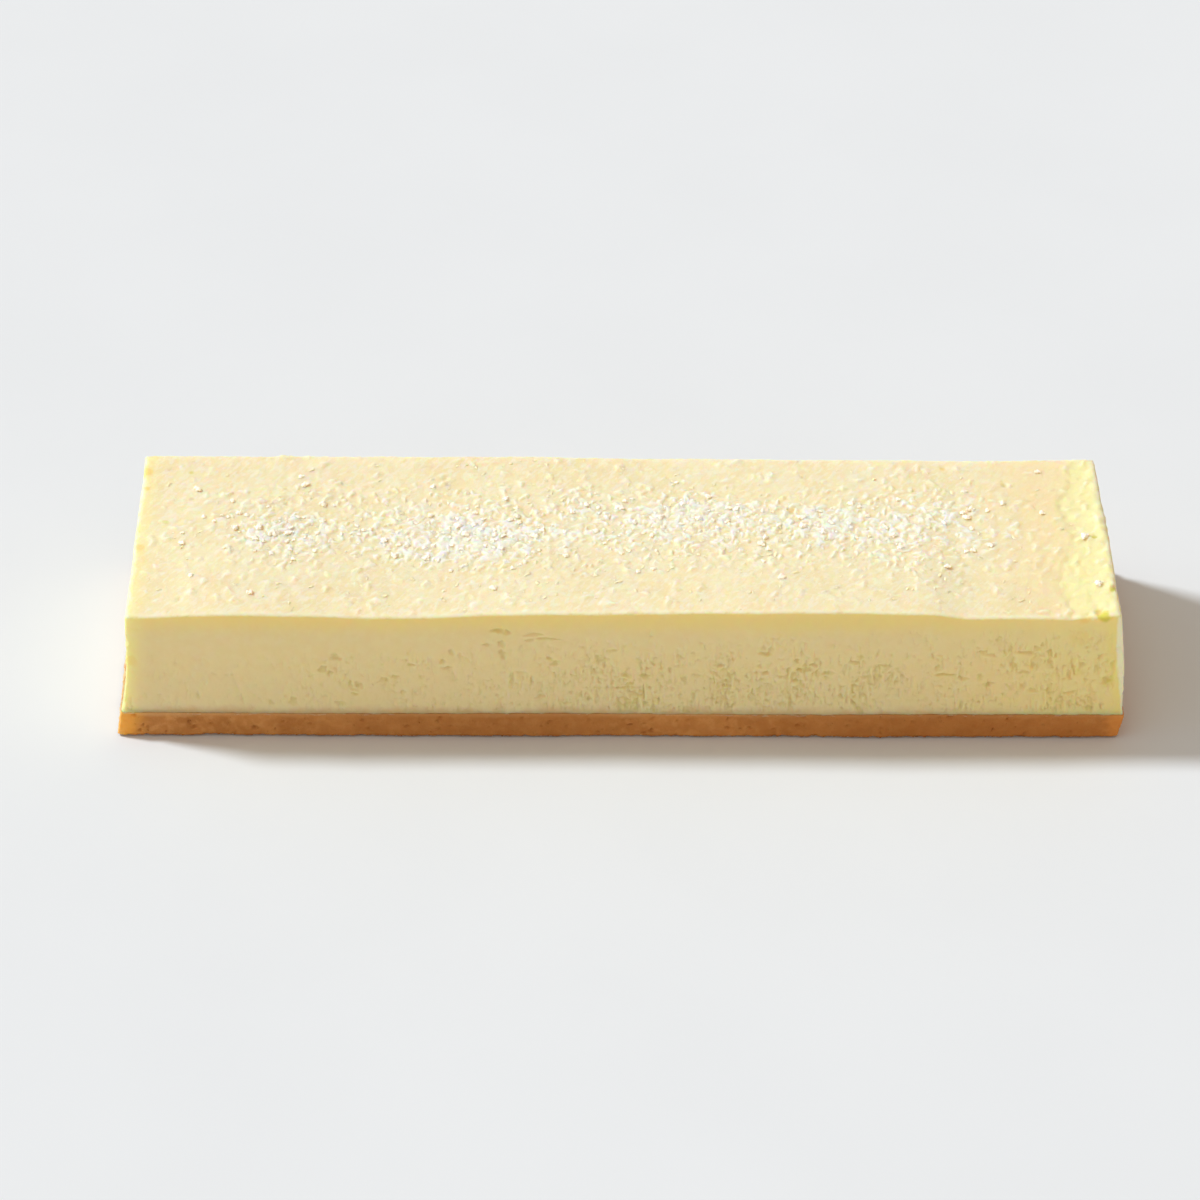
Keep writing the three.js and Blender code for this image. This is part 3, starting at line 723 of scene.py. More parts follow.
def shape_cheese(piece):
    """Leans and rounds the block, and lays its top and its lower edge on their levels."""
    square = points_of(piece)
    placed = lean_in(round_edges(square, CHEESE_EDGE, True))
    share = (placed[:, 2] - BASE_THICKNESS) / (BAR_HEIGHT - BASE_THICKNESS)
    around = placed[:, 0] + 1.3 * placed[:, 1]
    drop = LOWER_EDGE_DROP * (0.55 + 0.45 * wander(11 * around, 0.7))
    line = layer_line(placed[:, 0], placed[:, 1]) - drop
    placed[:, 2] = lerp(line, top_level(placed[:, 0], placed[:, 1]), share)
    x_share, y_share = np.abs(square[:, 0]) / HALF_LENGTH, np.abs(square[:, 1]) / HALF_DEPTH
    is_bottom = (square[:, 2] < BASE_THICKNESS + 0.01) & (x_share < 0.999) & (y_share < 0.999)
    inner = is_bottom & (x_share < 1 - 0.9 * LAYER_LINE_BAND / HALF_LENGTH)
    inner &= y_share < 1 - 0.9 * LAYER_LINE_BAND / HALF_DEPTH
    placed[inner, 2] = BASE_THICKNESS + LAYER_GAP
    at_top = smoothstep(share, 0.97, 1)
    placed[:, 2] += rim_rise(placed[:, 0], placed[:, 1]) * smoothstep(share, 0.9, 1)
    placed[:, 2] -= TORN_DEPTH * torn_share(placed[:, 0], placed[:, 1]) * at_top
    move_points(piece, placed)


def top_flakes(settings):
    """The white flakes in the sugar band, and the low creamy bumps over the whole top."""
    white = sugar_flakes(
        settings.white_flakes, (0.3, 1.1), (0.14, 0.42),
        lambda x, y: 1.2 * sugar_cover(x, y) + thin_drift(x, y), SUGAR_SEED + 5,
    )
    creamy = sugar_flakes(
        settings.creamy_flakes, (0.35, 0.9), (0.06, 0.16), creamy_cover, SUGAR_SEED + 6,
    )
    return white, creamy


def thin_drift(x, y):
    """Flakes that lie thinly to the right of the drifts."""
    return 0.24 * math.exp(-((x - 60) / 18) ** 2 - ((y - 3) / 11) ** 2)


def creamy_cover(x, y):
    """Thin at the far left and right and along the back, thick over the rest."""
    along = smoothstep(x, -97, -70) * (1 - smoothstep(x, 68, 92))
    across = smoothstep(y, -27, -20) * (1 - 0.6 * smoothstep(y, 8, 24))
    return 0.15 + 0.85 * along * across


def curdle_cheese(piece, settings):
    """Roughens the cut faces and the baked top, and sinks the pits."""
    points = points_of(piece)
    x, y, z = points.T
    height = (z - BASE_THICKNESS) / (BAR_HEIGHT - BASE_THICKNESS)
    on_top = smoothstep(z - top_level(x, y), -0.9, -0.2)
    low = smoothstep(height, -0.02, 0.03) * (1 - smoothstep(height, 0.45, 0.85))
    rightward = smoothstep(x, -75, 40)
    curdy = weigh(piece, "curdy", (1 - on_top) * (0.08 + 0.92 * low * (0.3 + 0.7 * rightward)))
    baked = weigh(piece, "baked", on_top)
    torn = weigh(piece, "torn", torn_share(x, y) * smoothstep(z - top_level(x, y), -2.5, -0.5))
    relief = settings.curd_relief / MM
    for size, strength, group, depth in (
        (3.2, 1.6 * relief, curdy, 2), (0.9, relief, curdy, 2),
        (2.4, 0.16, baked, 2), (0.8, 0.14, baked, 1), (1.5, 0.5, torn, 3),
    ):
        roughen(piece, size, strength, group, depth)
    points, normals = points_of(piece), normals_of(piece)
    from_top = points[:, 2] - top_level(points[:, 0], points[:, 1])
    pits = solid_face_pits() + solid_top_pits() + named_pits()
    pits += fine_face_pits(settings.pit_count, settings.pit_size / MM)
    sunk = sink_pits(points, pits, PIT_SEED)
    sunk += curd_tears(points) * (1 - smoothstep(from_top, -3, -1.5))
    white, creamy = top_flakes(settings)
    raised = lay_flakes(points, white, SUGAR_SEED)[0] + lay_flakes(points, creamy, SUGAR_SEED)[0]
    moved = points - normals * sunk[:, None]
    moved[:, 2] += raised * smoothstep(from_top, -0.9, -0.4)
    move_points(piece, moved)
    faces = sum(len(face.vertices) - 2 for face in piece.data.polygons)
    apply_modifier(piece, "DECIMATE", ratio=settings.most_triangles / faces)


def mark_cheese(piece, settings):
    """Stores what the cheese's material needs: skin, sugar, torn skin and how deep it is sunk."""
    points = points_of(piece)
    x, y, z = points.T
    torn = torn_share(x, y)
    skin = smoothstep(z - top_level(x, y) + TORN_DEPTH * torn, -0.5, -0.25)
    left, right, front, back = face_insets(x, y, z)
    from_face = np.minimum.reduce((
        y + HALF_DEPTH - front, HALF_DEPTH - back - y,
        x + HALF_LENGTH - left, HALF_LENGTH - right - x,
    ))
    depth = np.where(skin > 0.5, top_level(x, y) - TORN_DEPTH * torn - z, from_face)
    white, creamy = top_flakes(settings)
    store(piece, "skin", skin)
    store(piece, "rim", skin * smoothstep(from_face, 1.1, 0.5))
    # The cheese's material paints shade into the pits by this depth.
    store(piece, "sunk", smoothstep(depth, 0.08, 0.44) * (z > BASE_THICKNESS + 0.3))
    store(piece, "torn", torn_share(x, y, 7))
    store(piece, "sugar", lay_flakes(points, white, SUGAR_SEED)[1])
    store(piece, "creamy", lay_flakes(points, creamy, SUGAR_SEED)[1])


# ------------------------------------------------------------------------------ biscuit base

def base_block():
    """The base's walls, from an outline with many points that is extruded up in rows."""
    start_afresh()
    bpy.ops.mesh.primitive_plane_add(size=1)
    piece = added_piece("biscuit", (BAR_LENGTH * MM, BAR_DEPTH * MM, 1))
    bpy.ops.object.mode_set(mode="EDIT")
    pick("EDGE", lambda middle, edge: abs(middle.x) < 1)
    bpy.ops.mesh.subdivide(number_cuts=CELLS_LENGTH - 1)
    pick("EDGE", lambda middle, edge: abs(middle.x) > HALF_LENGTH - 0.1)
    bpy.ops.mesh.subdivide(number_cuts=CELLS_DEPTH - 1)
    bpy.ops.mesh.select_mode(type="FACE")
    bpy.ops.mesh.select_all(action="SELECT")
    extrude_to(np.linspace(0, BASE_THICKNESS, BASE_ROWS + 1))
    draw_in_ring(LAYER_LINE_BAND)
    pick("FACE", lambda middle, face: len(face.verts) == 4)
    bpy.ops.mesh.subdivide(number_cuts=BASE_CUTS)
    bpy.ops.object.mode_set(mode="OBJECT")
    return piece


def shape_base(piece):
    """Leans and rounds the base, lays its upper line and draws its ragged foot in."""
    square = points_of(piece)
    placed = lean_in(round_edges(square, BASE_EDGE, False))
    edge = np.maximum(np.abs(square[:, 0]) - HALF_LENGTH, np.abs(square[:, 1]) - HALF_DEPTH)
    at_line = smoothstep(edge, -LAYER_LINE_BAND, 0) * (square[:, 2] / BASE_THICKNESS)
    line = layer_line(placed[:, 0], placed[:, 1]) - BASE_THICKNESS
    placed[:, 2] += at_line * line
    around = placed[:, 0] + 1.3 * placed[:, 1]
    recess = BASE_FOOT_RAGGEDNESS * (2.2 + 0.7 * wander(9 * around, 2.2))
    recess *= 1 - smoothstep(square[:, 2], 0.1, 0.45)
    placed[:, :2] *= 1 - recess[:, None] / (HALF_LENGTH, HALF_DEPTH)
    move_points(piece, placed)


def crumble_base(piece, settings):
    """Roughens the walls into pressed crumb, with nicks in the foot and a ragged upper line."""
    points = points_of(piece)
    z = points[:, 2]
    edge = np.maximum(np.abs(points[:, 0]) - HALF_LENGTH, np.abs(points[:, 1]) - HALF_DEPTH)
    wall = smoothstep(edge, -3, -1.5)
    walls = weigh(piece, "walls", wall * (0.25 + 0.75 * smoothstep(BASE_THICKNESS - z, 0, 0.5)))
    foot = weigh(piece, "foot", wall * (1 - smoothstep(z, 0.2, 1.3)))
    relief = settings.crumb_relief / MM
    for size, strength, group, depth in (
        (4.5, 1.4, walls, 2), (1.3, 1.5, walls, 2), (0.55, 0.9, walls, 1), (1.1, 1.3, foot, 2),
    ):
        roughen(piece, size, strength * relief, group, depth)
    points, normals = points_of(piece), normals_of(piece)
    rng = np.random.default_rng(settings.seed)
    nicks = []
    for _ in range(settings.nick_count):
        faces = ("front", "front", "back", "back", "left", "right")
        face = rng.choice(faces, p=(0.25, 0.25, 0.125, 0.125, 0.125, 0.125))
        low = rng.random() < 0.45
        height = rng.uniform(-0.1, 0.4) if low else rng.uniform(0.8, BASE_THICKNESS - 0.5)
        wide = rng.uniform(0.3, 1.3) if low else rng.uniform(0.2, 0.6)
        nicks.append(face_pit(
            face, rng.uniform(0.01, 0.99), height,
            wide, rng.uniform(0.25, 0.6), rng.uniform(0.2, 0.6),
        ))
    sunk = sink_pits(points, nicks, settings.seed)
    flat = np.array([1, 1, 0]) * normals
    moved = points - flat * sunk[:, None]
    moved[:, 2] = np.maximum(moved[:, 2], 0)
    move_points(piece, moved)
    piece.vertex_groups.clear()
    # The biscuit's material paints shade into the nicks from this.
    store(piece, "sunk", smoothstep(sunk, 0.05, 0.4))


# ------------------------------------------------------------------------------ sugar and crumbs

def sugar_cover(x, y):
    """How much of the top is under sugar clumps at a place, from 0 to 1."""
    drifted = [
        share * math.exp(-((x - drift_x) / length) ** 2 - ((y - drift_y) / depth) ** 2)
        for drift_x, drift_y, length, depth, share in SUGAR_DRIFTS
    ]
    return SUGAR_STRAY_COVER + max(drifted)


def solid_clumps():
    """The clumps that the cheese solid has, as (x, y, radius, second radius)."""
    draws = seeded_draws(SUGAR_SEED)
    places = list(STANDOUT_CLUMPS)
    reach_x = HALF_LENGTH - LEFT_LEAN - SUGAR_MARGIN
    reach_y = HALF_DEPTH - FRONT_LEAN - SUGAR_MARGIN
    while len(places) < SUGAR_CLUMPS:
        x = lerp(-reach_x, reach_x, next(draws))
        y = lerp(-reach_y, reach_y, next(draws))
        radius = lerp(LARGEST_CLUMP, SMALLEST_CLUMP, math.sqrt(len(places) / SUGAR_CLUMPS))
        clear = all(
            math.hypot(other[0] - x, other[1] - y) > CLUMP_SPACING * (other[2] + radius)
            for other in places
        )
        if next(draws) < sugar_cover(x, y) and clear:
            places.append((x, y, radius))
    clumps = []
    for x, y, radius in places:
        clumps.append((x, y, radius, radius * (0.75 + 0.3 * next(draws))))
        skip_draws(draws, LUMP_DRAWS)
    return clumps


def strewn(rng, count, cover):
    """Places on the top, kept where the cover is thick."""
    places = []
    while len(places) < count:
        x, y = rng.uniform(*STREWN_X), rng.uniform(*STREWN_Y)
        if rng.random() < cover(x, y):
            places.append((x, y))
    return np.array(places)


def crumbly_model(number, grains, faces):
    """One crumb of radius 1: a few grains joined, roughened and thinned to few faces."""
    rng = np.random.default_rng(number)
    start_afresh()
    bpy.ops.mesh.primitive_ico_sphere_add(subdivisions=3, radius=0.75)
    model = added_piece(f"crumb_model_{number}")
    bpy.ops.object.mode_set(mode="EDIT")
    for _ in range(grains):
        turn, out = rng.uniform(0, 2 * math.pi), rng.uniform(0.5, 0.95)
        place = (out * math.cos(turn), out * math.sin(turn), rng.uniform(-0.3, 0.4))
        bpy.ops.mesh.primitive_ico_sphere_add(
            subdivisions=2, radius=rng.uniform(0.28, 0.5), location=place,
        )
    bpy.ops.object.mode_set(mode="OBJECT")
    apply_modifier(model, "REMESH", mode="VOXEL", voxel_size=0.11)
    texture = bpy.data.textures.new("crumb_model", "CLOUDS")
    texture.noise_scale = 0.5
    apply_modifier(model, "DISPLACE", texture=texture, texture_coords="LOCAL", strength=0.75)
    bpy.data.textures.remove(texture)
    apply_modifier(model, "DECIMATE", ratio=faces / (2 * len(model.data.polygons)))
    corners = np.array([vertex.co for vertex in model.data.vertices])
    model.data.calc_loop_triangles()
    triangles = np.array([triangle.vertices for triangle in model.data.loop_triangles])
    corners /= np.abs(corners).max(axis=0)
    bpy.data.objects.remove(model)
    return corners, triangles


def heap(name, models, places, radii, turns, tilts, tones, soaked_and_shaded_foot=(-1, -1.01)):
    """One mesh of many crumbs: each is a copy of a model, stretched, turned and put in place.

    Its tone rises to 1 between two heights in the model that bound its foot: painted warm shade on the
    shaded lower sides, and sugar soaked with cream.
    """
    start_afresh()
    all_corners, all_triangles, all_tones = [], [], []
    offset = 0
    for number, place in enumerate(places):
        corners, triangles = models[number % len(models)]
        turn = Matrix.Rotation(turns[number], 3, "Z")
        tilt = Matrix.Rotation(tilts[number], 3, "X")
        turned = corners * radii[number] @ np.array(tilt).T @ np.array(turn).T
        all_corners.append(turned + place)
        all_triangles.append(triangles + offset)
        # The foot turns to the warm tone: partly sugar soaked with cream, partly painted warm shade on
        # the shaded lower sides.
        foot = smoothstep(corners[:, 2], *soaked_and_shaded_foot)
        all_tones.append(np.maximum(tones[number], foot))
        offset += len(corners)
    mesh = bpy.data.meshes.new(name)
    points = (np.concatenate(all_corners) + BAR_MIDDLE) * MM
    mesh.from_pydata(points, [], np.concatenate(all_triangles))
    piece = bpy.data.objects.new(name, mesh)
    bpy.context.scene.collection.objects.link(piece)
    store(piece, "tone", np.concatenate(all_tones))
    finish_mesh(piece, 60)
    return piece


def laid_on_top(places, radii, sink):
    """Points on the top for crumbs of these radii, each sunk in by a share of its height."""
    x, y = places.T
    level = top_level(x, y) + rim_rise(x, y) - TORN_DEPTH * torn_share(x, y)
    height = level + radii[:, 2] * (1 - 2 * sink)
    return np.column_stack((x, y, height))


# ------------------------------------------------------------------------------ finishes

class Wire:
    """An output of a shader node. Sums and products of wires and numbers add Math nodes."""

    def __init__(self, finish, socket):
        self.finish = finish
        self.socket = socket

    def maths(self, operation, first, second):
        return self.finish.node("ShaderNodeMath", {"operation": operation}, {0: first, 1: second})

    def __add__(self, other):
        return self.maths("ADD", self, other)

    def __radd__(self, other):
        return self.maths("ADD", other, self)

    def __sub__(self, other):
        return self.maths("SUBTRACT", self, other)

    def __rsub__(self, other):
        return self.maths("SUBTRACT", other, self)

    def __mul__(self, other):
        return self.maths("MULTIPLY", self, other)

    def __rmul__(self, other):
        return self.maths("MULTIPLY", other, self)

    def between(self, low, high):
        """Rises smoothly from 0 at low to 1 at high."""
        return self.finish.node(
            "ShaderNodeMapRange", {"interpolation_type": "SMOOTHSTEP"},
            {"Value": self, "From Min": low, "From Max": high},
        )


class Finish:
    """A material, or the world, in the making."""

    def __init__(self, owner):
        owner.use_nodes = True
        self.tree = owner.node_tree
        self.tree.nodes.clear()

    def node(self, kind, settings=None, sockets=None, output=0):
        """Adds a node, sets it and then its sockets' values or links, and gives one output."""
        node = self.tree.nodes.new(kind)
        for name, value in (settings or {}).items():
            setattr(node, name, value)
        for name, value in (sockets or {}).items():
            if isinstance(value, Wire):
                self.tree.links.new(value.socket, node.inputs[name])
            else:
                node.inputs[name].default_value = value
        return Wire(self, node.outputs[output]) if len(node.outputs) else node

    def place(self, kind="Object"):
        """The place on the object in metres, or the way into the world, and its X, Y and Z."""
        where = self.node("ShaderNodeTexCoord", output=kind)
        parts = self.node("ShaderNodeSeparateXYZ", sockets={"Vector": where}).socket.node
        return where, *(Wire(self, parts.outputs[axis]) for axis in "XYZ")

    def kept(self, name):
        """A number stored on the mesh."""
        return self.node("ShaderNodeAttribute", {"attribute_name": name}, output="Fac")

    def mix(self, share, first, second):
        """A colour between two colours."""
        settings = {"data_type": "RGBA"}
        colours = {
            key: value if isinstance(value, Wire) else (*value, 1)
            for key, value in ((6, first), (7, second))
        }
        return self.node("ShaderNodeMix", settings, {0: share, **colours}, output=2)

    def coated(self, colour, *coats):
        """A colour under coats, one on the other, each given as its share and its colour."""
        for share, coat in coats:
            colour = self.mix(share, colour, coat)
        return colour

    def speckle(self, where, size, detail=2.0):
        """Noise with features of about one size in millimetres."""
        sockets = {"Vector": where, "Scale": 1 / (size * MM), "Detail": detail}
        return self.node("ShaderNodeTexNoise", {}, sockets, output="Fac")

    def spot(self, where, middle, radius, noise):
        """1 at a place given in millimetres, and 0 past a radius, with a ragged edge."""
        sockets = {0: where, 1: tuple(length * MM for length in middle)}
        away = self.node("ShaderNodeVectorMath", {"operation": "DISTANCE"}, sockets, "Value")
        ragged = away + (noise - 0.5) * (1.3 * radius * MM)
        return 1 - ragged.between(0.35 * radius * MM, radius * MM)

    def bump(self, height, distance, strength=1.0):
        sockets = {"Height": height, "Distance": distance * MM, "Strength": strength}
        return self.node("ShaderNodeBump", {}, sockets)

    def surface(self, sockets, scattering="RANDOM_WALK"):
        shader = self.node("ShaderNodeBsdfPrincipled", {"subsurface_method": scattering}, sockets)
        self.node("ShaderNodeOutputMaterial", {}, {"Surface": shader})


def make_cheese_finish(settings):
    """Baked cream cheese: a paler dusted skin on top, smooth and faintly moist where it is cut."""
    material = bpy.data.materials.new("baked_cheese")
    finish = Finish(material)
    where, x, y, z = finish.place()
    skin, sunk, torn = finish.kept("skin"), finish.kept("sunk"), finish.kept("torn")
    mottle = finish.speckle(where, 9)
    curds = finish.speckle(where, 2.2, 3)
    grain = finish.speckle(where, 0.7)
    scale = {"operation": "MULTIPLY"}
    upright = finish.node("ShaderNodeVectorMath", scale, {0: where, 1: (1, 1, 0.3)})
    scratches = finish.speckle(upright, 0.8)
    slanted = finish.node("ShaderNodeMapping", {"vector_type": "TEXTURE"}, {
        "Vector": where, "Rotation": (0, 0, math.radians(56)), "Scale": (2.4, 1, 1),
    })
    streaks = finish.speckle(slanted, 0.75)

    # Painted shade: the cut faces darken towards the base, fully below 7 mm and fading out by 20 mm.
    low_shade = 1 - z.between(0.007, 0.02)
    curdy = (1 - z.between(0.012, 0.026)) * (0.35 + x.between(-0.08, 0.01) * 0.65)
    # Painted light: a paler strip along the lowest two millimetres of the cheese, where its foot
    # flares out.
    foot = 1 - (z + curds * 0.002).between(0.0076, 0.0088)
    crumbed = 1 - (z + mottle * 0.002 + curds * 0.002).between(0.0071, 0.0098)
    under_skin = (z + mottle * 0.002).between(0.0245, 0.0295)
    right_end = (x + mottle * 0.02).between(0.06, 0.108)
    spread = (1 - z.between(0, 0.026)) * 0.0025
    from_left, from_right = x + spread, x + y * 0.0215 - spread
    left_glow = 1 - (from_left + curds * 0.0014).between(-0.0965, -0.0905)
    near_front = 1 - (y + mottle * 0.004).between(-0.0245, -0.02)
    right_line = from_right.between(0.0938, 0.0958)
    # Painted glow: the right end face and a thin strip of the cut faces beside it turn pale, as where
    # light shines through the edge.
    right_edge_glow = (from_right + curds * 0.0006).between(0.0966, 0.0972)
    side = finish.coated(
        finish.mix(curds.between(0.35, 0.7), settings.cut_colour, settings.cut_pale_colour),
        (low_shade * 0.6, settings.low_shade_colour),
        (curds.between(0.52, 0.72) * curdy * 0.25, settings.pit_shade_and_curd_colour),
        (grain.between(0.5, 0.72) * curdy * 0.2, settings.pit_shade_and_curd_colour),
        (scratches.between(0.56, 0.7) * curdy * 0.2, settings.pit_shade_and_curd_colour),
        ((1 - scratches.between(0.28, 0.42)) * curdy * 0.35, settings.lit_foot_and_scratch_colour),
        # Painted light on the foot strip.
        (foot * 0.3, settings.lit_foot_and_scratch_colour),
        (crumbed * 0.85, settings.crumbed_colour),
        (under_skin * 0.85, settings.under_skin_colour),
        (right_end * 0.8, settings.end_colour),
        # Painted shade inside the pits and tears, deeper ones darker.
        (sunk * 0.38, settings.pit_shade_and_curd_colour),
        (left_glow * near_front * 0.9, settings.glow_colour),
        (right_line * 0.35, settings.line_colour),
        (right_edge_glow * 0.8, settings.pale_rim_and_right_glow_colour),
    )
    near_band = (x + curds * 0.006 + mottle * 0.008).between(0.075, 0.092)
    ragged_band = (torn + (curds - 0.5) * 1.4).between(0.0, 0.95)
    top = finish.coated(
        finish.mix(mottle.between(0.35, 0.65), settings.top_colour, settings.top_pale_colour),
        (finish.kept("creamy") * 0.8, settings.dust_colour),
        (grain.between(0.5, 0.75) * 0.3, settings.dust_colour),
        (streaks.between(0.5, 0.62) * 0.8, settings.dust_colour),
        ((1 - streaks.between(0.3, 0.42)) * 0.4, settings.hollow_colour),
        (near_band * 0.6, settings.peach_colour),
        (ragged_band * (0.55 + grain * 0.4), settings.band_colour),
        (left_glow * 0.6, settings.glow_colour),
        # Painted shade in the dimples of the top.
        (sunk * 0.6, settings.pit_shade_and_curd_colour),
        (finish.kept("rim") * curds.between(0.3, 0.55) * 0.7, settings.pale_rim_and_right_glow_colour),
        (finish.kept("sugar"), settings.sugar_colour),
    )
    spots = [(*spot, settings.orange_colour) for spot in ORANGE_SPOTS]
    spots += [(*spot, settings.green_colour) for spot in GREEN_SPOTS]
    colour = finish.coated(finish.mix(skin, side, top), *(
        (finish.spot(where, middle, radius, curds) * strength, tint)
        for middle, radius, strength, tint in spots
    ))
    height = curds * 0.4 + grain * 0.4 + finish.mix(skin, scratches, streaks) * 0.3
    finish.surface({
        "Base Color": colour,
        "Roughness": 0.42 + skin * 0.2 + grain * 0.12,
        "Normal": finish.bump(height, 0.16, 0.6),
        "Subsurface Weight": 1.0,
        "Subsurface Radius": (1.0, 0.62, 0.25),
        "Subsurface Scale": settings.glow_depth,
        "Specular IOR Level": 0.4,
    })
    return material


def make_biscuit_finish(settings):
    """Pressed biscuit crumb: golden brown, mottled, with paler and darker grains."""
    material = bpy.data.materials.new("biscuit")
    finish = Finish(material)
    where, x, y, z = finish.place()
    sunk = finish.kept("sunk")
    mottle = finish.speckle(where, 6, 3)
    crumb = finish.speckle(where, 1.7)
    grain = finish.speckle(where, 0.4)
    under_cheese = (z + mottle * 0.002).between(0.0056, 0.0066)
    ripple = x + mottle * 0.02
    dark_left = ripple.between(-0.075, -0.03) - ripple.between(-0.005, 0.02)
    dark_right = ripple.between(0.03, 0.055) - ripple.between(0.08, 0.105) * 0.6
    left_end = 1 - (x + crumb * 0.002).between(-0.098, -0.0915)
    near_front = 1 - (y + mottle * 0.004).between(-0.0255, -0.0235)
    right_end = (x + z * 0.1 + crumb * 0.002).between(0.0965, 0.1)
    # Painted shade: a dark line along the lowest millimetre, where the base meets the floor.
    contact_shade = 1 - (z + crumb * 0.0006).between(0.0005, 0.0011)
    on_left = 1 - x.between(-0.1, -0.0975)
    smear = on_left * (y + mottle * 0.004).between(-0.0262, -0.024) * crumb.between(0.3, 0.6)
    colour = finish.coated(
        tuple(settings.crumb_colour),
        (mottle.between(0.3, 0.7) * 0.8, settings.crumb_dark_and_nick_shade_colour),
        (crumb.between(0.45, 0.7) * 0.4, settings.crumb_pale_colour),
        (grain.between(0.55, 0.75) * 0.3, settings.crumb_dark_and_nick_shade_colour),
        (under_cheese * 0.5, settings.moist_colour),
        # Painted shade inside the nicks.
        (sunk * 0.8, settings.crumb_dark_and_nick_shade_colour),
        (x.between(-0.03, 0.1) * 0.45, settings.baked_colour),
        ((dark_left + dark_right) * 0.5, settings.crumb_dark_and_nick_shade_colour),
        (left_end * near_front * 0.95, settings.left_end_colour),
        (right_end * 0.6, settings.right_end_colour),
        (contact_shade * 0.75, settings.contact_shade_colour),
        (smear * 0.5, settings.smear_colour),
    )
    finish.surface({
        "Base Color": colour,
        "Roughness": 0.72 + crumb * 0.2,
        "Normal": finish.bump(crumb * 0.6 + grain * 0.4, 0.25, 0.7),
        "Subsurface Weight": 0.35,
        "Subsurface Radius": (1.0, 0.45, 0.18),
        "Subsurface Scale": 0.0012,
        "Specular IOR Level": 0.3,
    })
    return material


def make_sugar_finish(name, pale, warm):
    """Dry or half-melted icing sugar, each clump between two tones."""
    material = bpy.data.materials.new(name)
    finish = Finish(material)
    grain = finish.speckle(finish.place()[0], 0.35)
    # For the dry clumps the tone also carries painted warm shade on their lower sides, besides soaked
    # sugar.
    colour = finish.mix(finish.kept("tone"), pale, warm)
    finish.surface({
        "Base Color": finish.mix(grain.between(0.4, 0.8) * 0.25, colour, warm),
        "Roughness": 0.75 + grain * 0.2,
        "Normal": finish.bump(grain, 0.1, 0.6),
        "Subsurface Weight": 1.0,
        "Subsurface Radius": (1.0, 0.8, 0.6),
        "Subsurface Scale": 0.0004,
        "Specular IOR Level": 0.25,
    }, "BURLEY")
    return material


# ------------------------------------------------------------------------------ settings

def colour_setting(name, description, default):
    return FloatVectorProperty(
        name=name, description=description, default=default,
        subtype="COLOR", min=0, max=1, size=3,
    )


def length_setting(name, description, default):
    return FloatProperty(
        name=name, description=description, default=default, min=0, unit="LENGTH",
    )


def angle_setting(name, description, degrees):
    return FloatProperty(
        name=name, description=description, default=math.radians(degrees), subtype="ANGLE",
    )


def count_setting(name, description, default):
    return IntProperty(name=name, description=description, default=default, min=0)


class CheeseSettings(bpy.types.PropertyGroup):
    """Curd, pits and colours of the cheese layer."""

    curd_relief: length_setting("Curd relief", "Height of the fine curd in the cut faces", 0.00011)
    pit_count: count_setting("Small pits", "Torn pits in the cut faces", 900)
    pit_size: length_setting("Pit size", "Usual half width of a small pit", 0.00042)
    most_triangles: count_setting("Most triangles", "Triangles that the cheese keeps", 190000)
    glow_depth: length_setting("Glow depth", "How far light spreads inside the cheese", 0.0019)
    white_flakes: count_setting("White flakes", "Sugar flakes in the band", 2400)
    creamy_flakes: count_setting("Creamy flakes", "Melted flakes on the top", 3000)
    top_colour: colour_setting("Top", "Baked skin", (0.9, 0.775, 0.485))
    top_pale_colour: colour_setting("Top, pale", "Paler patches of the skin", (0.93, 0.815, 0.545))
    dust_colour: colour_setting("Dust", "Thin icing sugar on the skin", (0.94, 0.855, 0.655))
    peach_colour: colour_setting("Peach", "Skin near the right end", (0.92, 0.74, 0.42))
    band_colour: colour_setting("Right band", "Curd laid bare at the right end", (0.94, 0.87, 0.46))
    cut_colour: colour_setting("Cut face", "Cut curd", (0.89, 0.73, 0.378))
    cut_pale_colour: colour_setting("Cut face, pale", "Paler cut curd", (0.905, 0.757, 0.42))
    # Painted shade: the colour that darkens the cut faces towards the base.
    low_shade_colour: colour_setting("Cut face, low", "Cut curd near the base", (0.83, 0.71, 0.41))
    under_skin_colour: colour_setting("Under the skin", "Line under the top edge", (0.95, 0.76, 0.28))
    # Darker curd for speckles and scratches, and painted shade inside the pits.
    pit_shade_and_curd_colour: colour_setting("Pits", "Inside of the curd pits", (0.71, 0.6, 0.2))
    # Paler knife scratches, and painted light on the strip above the base.
    lit_foot_and_scratch_colour: colour_setting("Foot", "Paler strip above the base", (0.86, 0.77, 0.55))
    end_colour: colour_setting("Right end", "Yellower curd", (1.0, 0.775, 0.335))
    # Pale curled edge of the skin on the top, and painted glow over the right end of the cut faces.
    pale_rim_and_right_glow_colour: colour_setting("Rim", "Pale curled edge of the skin", (0.97, 0.9, 0.7))
    hollow_colour: colour_setting("Hollows", "Moist skin between the flakes", (0.88, 0.76, 0.38))
    glow_colour: colour_setting("Left edge", "Curd that light shines through", (1.0, 0.88, 0.38))
    line_colour: colour_setting("Right edge", "Greenish line along the edge", (0.86, 0.79, 0.2))
    crumbed_colour: colour_setting("Crumbed", "Cheese with crumbs in it", (0.75, 0.47, 0.22))
    sugar_colour: colour_setting("Sugar", "Dry sugar flakes", (1.0, 0.955, 0.885))
    orange_colour: colour_setting("Orange", "Spots that browned", (0.9, 0.6, 0.1))
    green_colour: colour_setting("Green", "Spots of wet curd", (0.66, 0.64, 0.07))


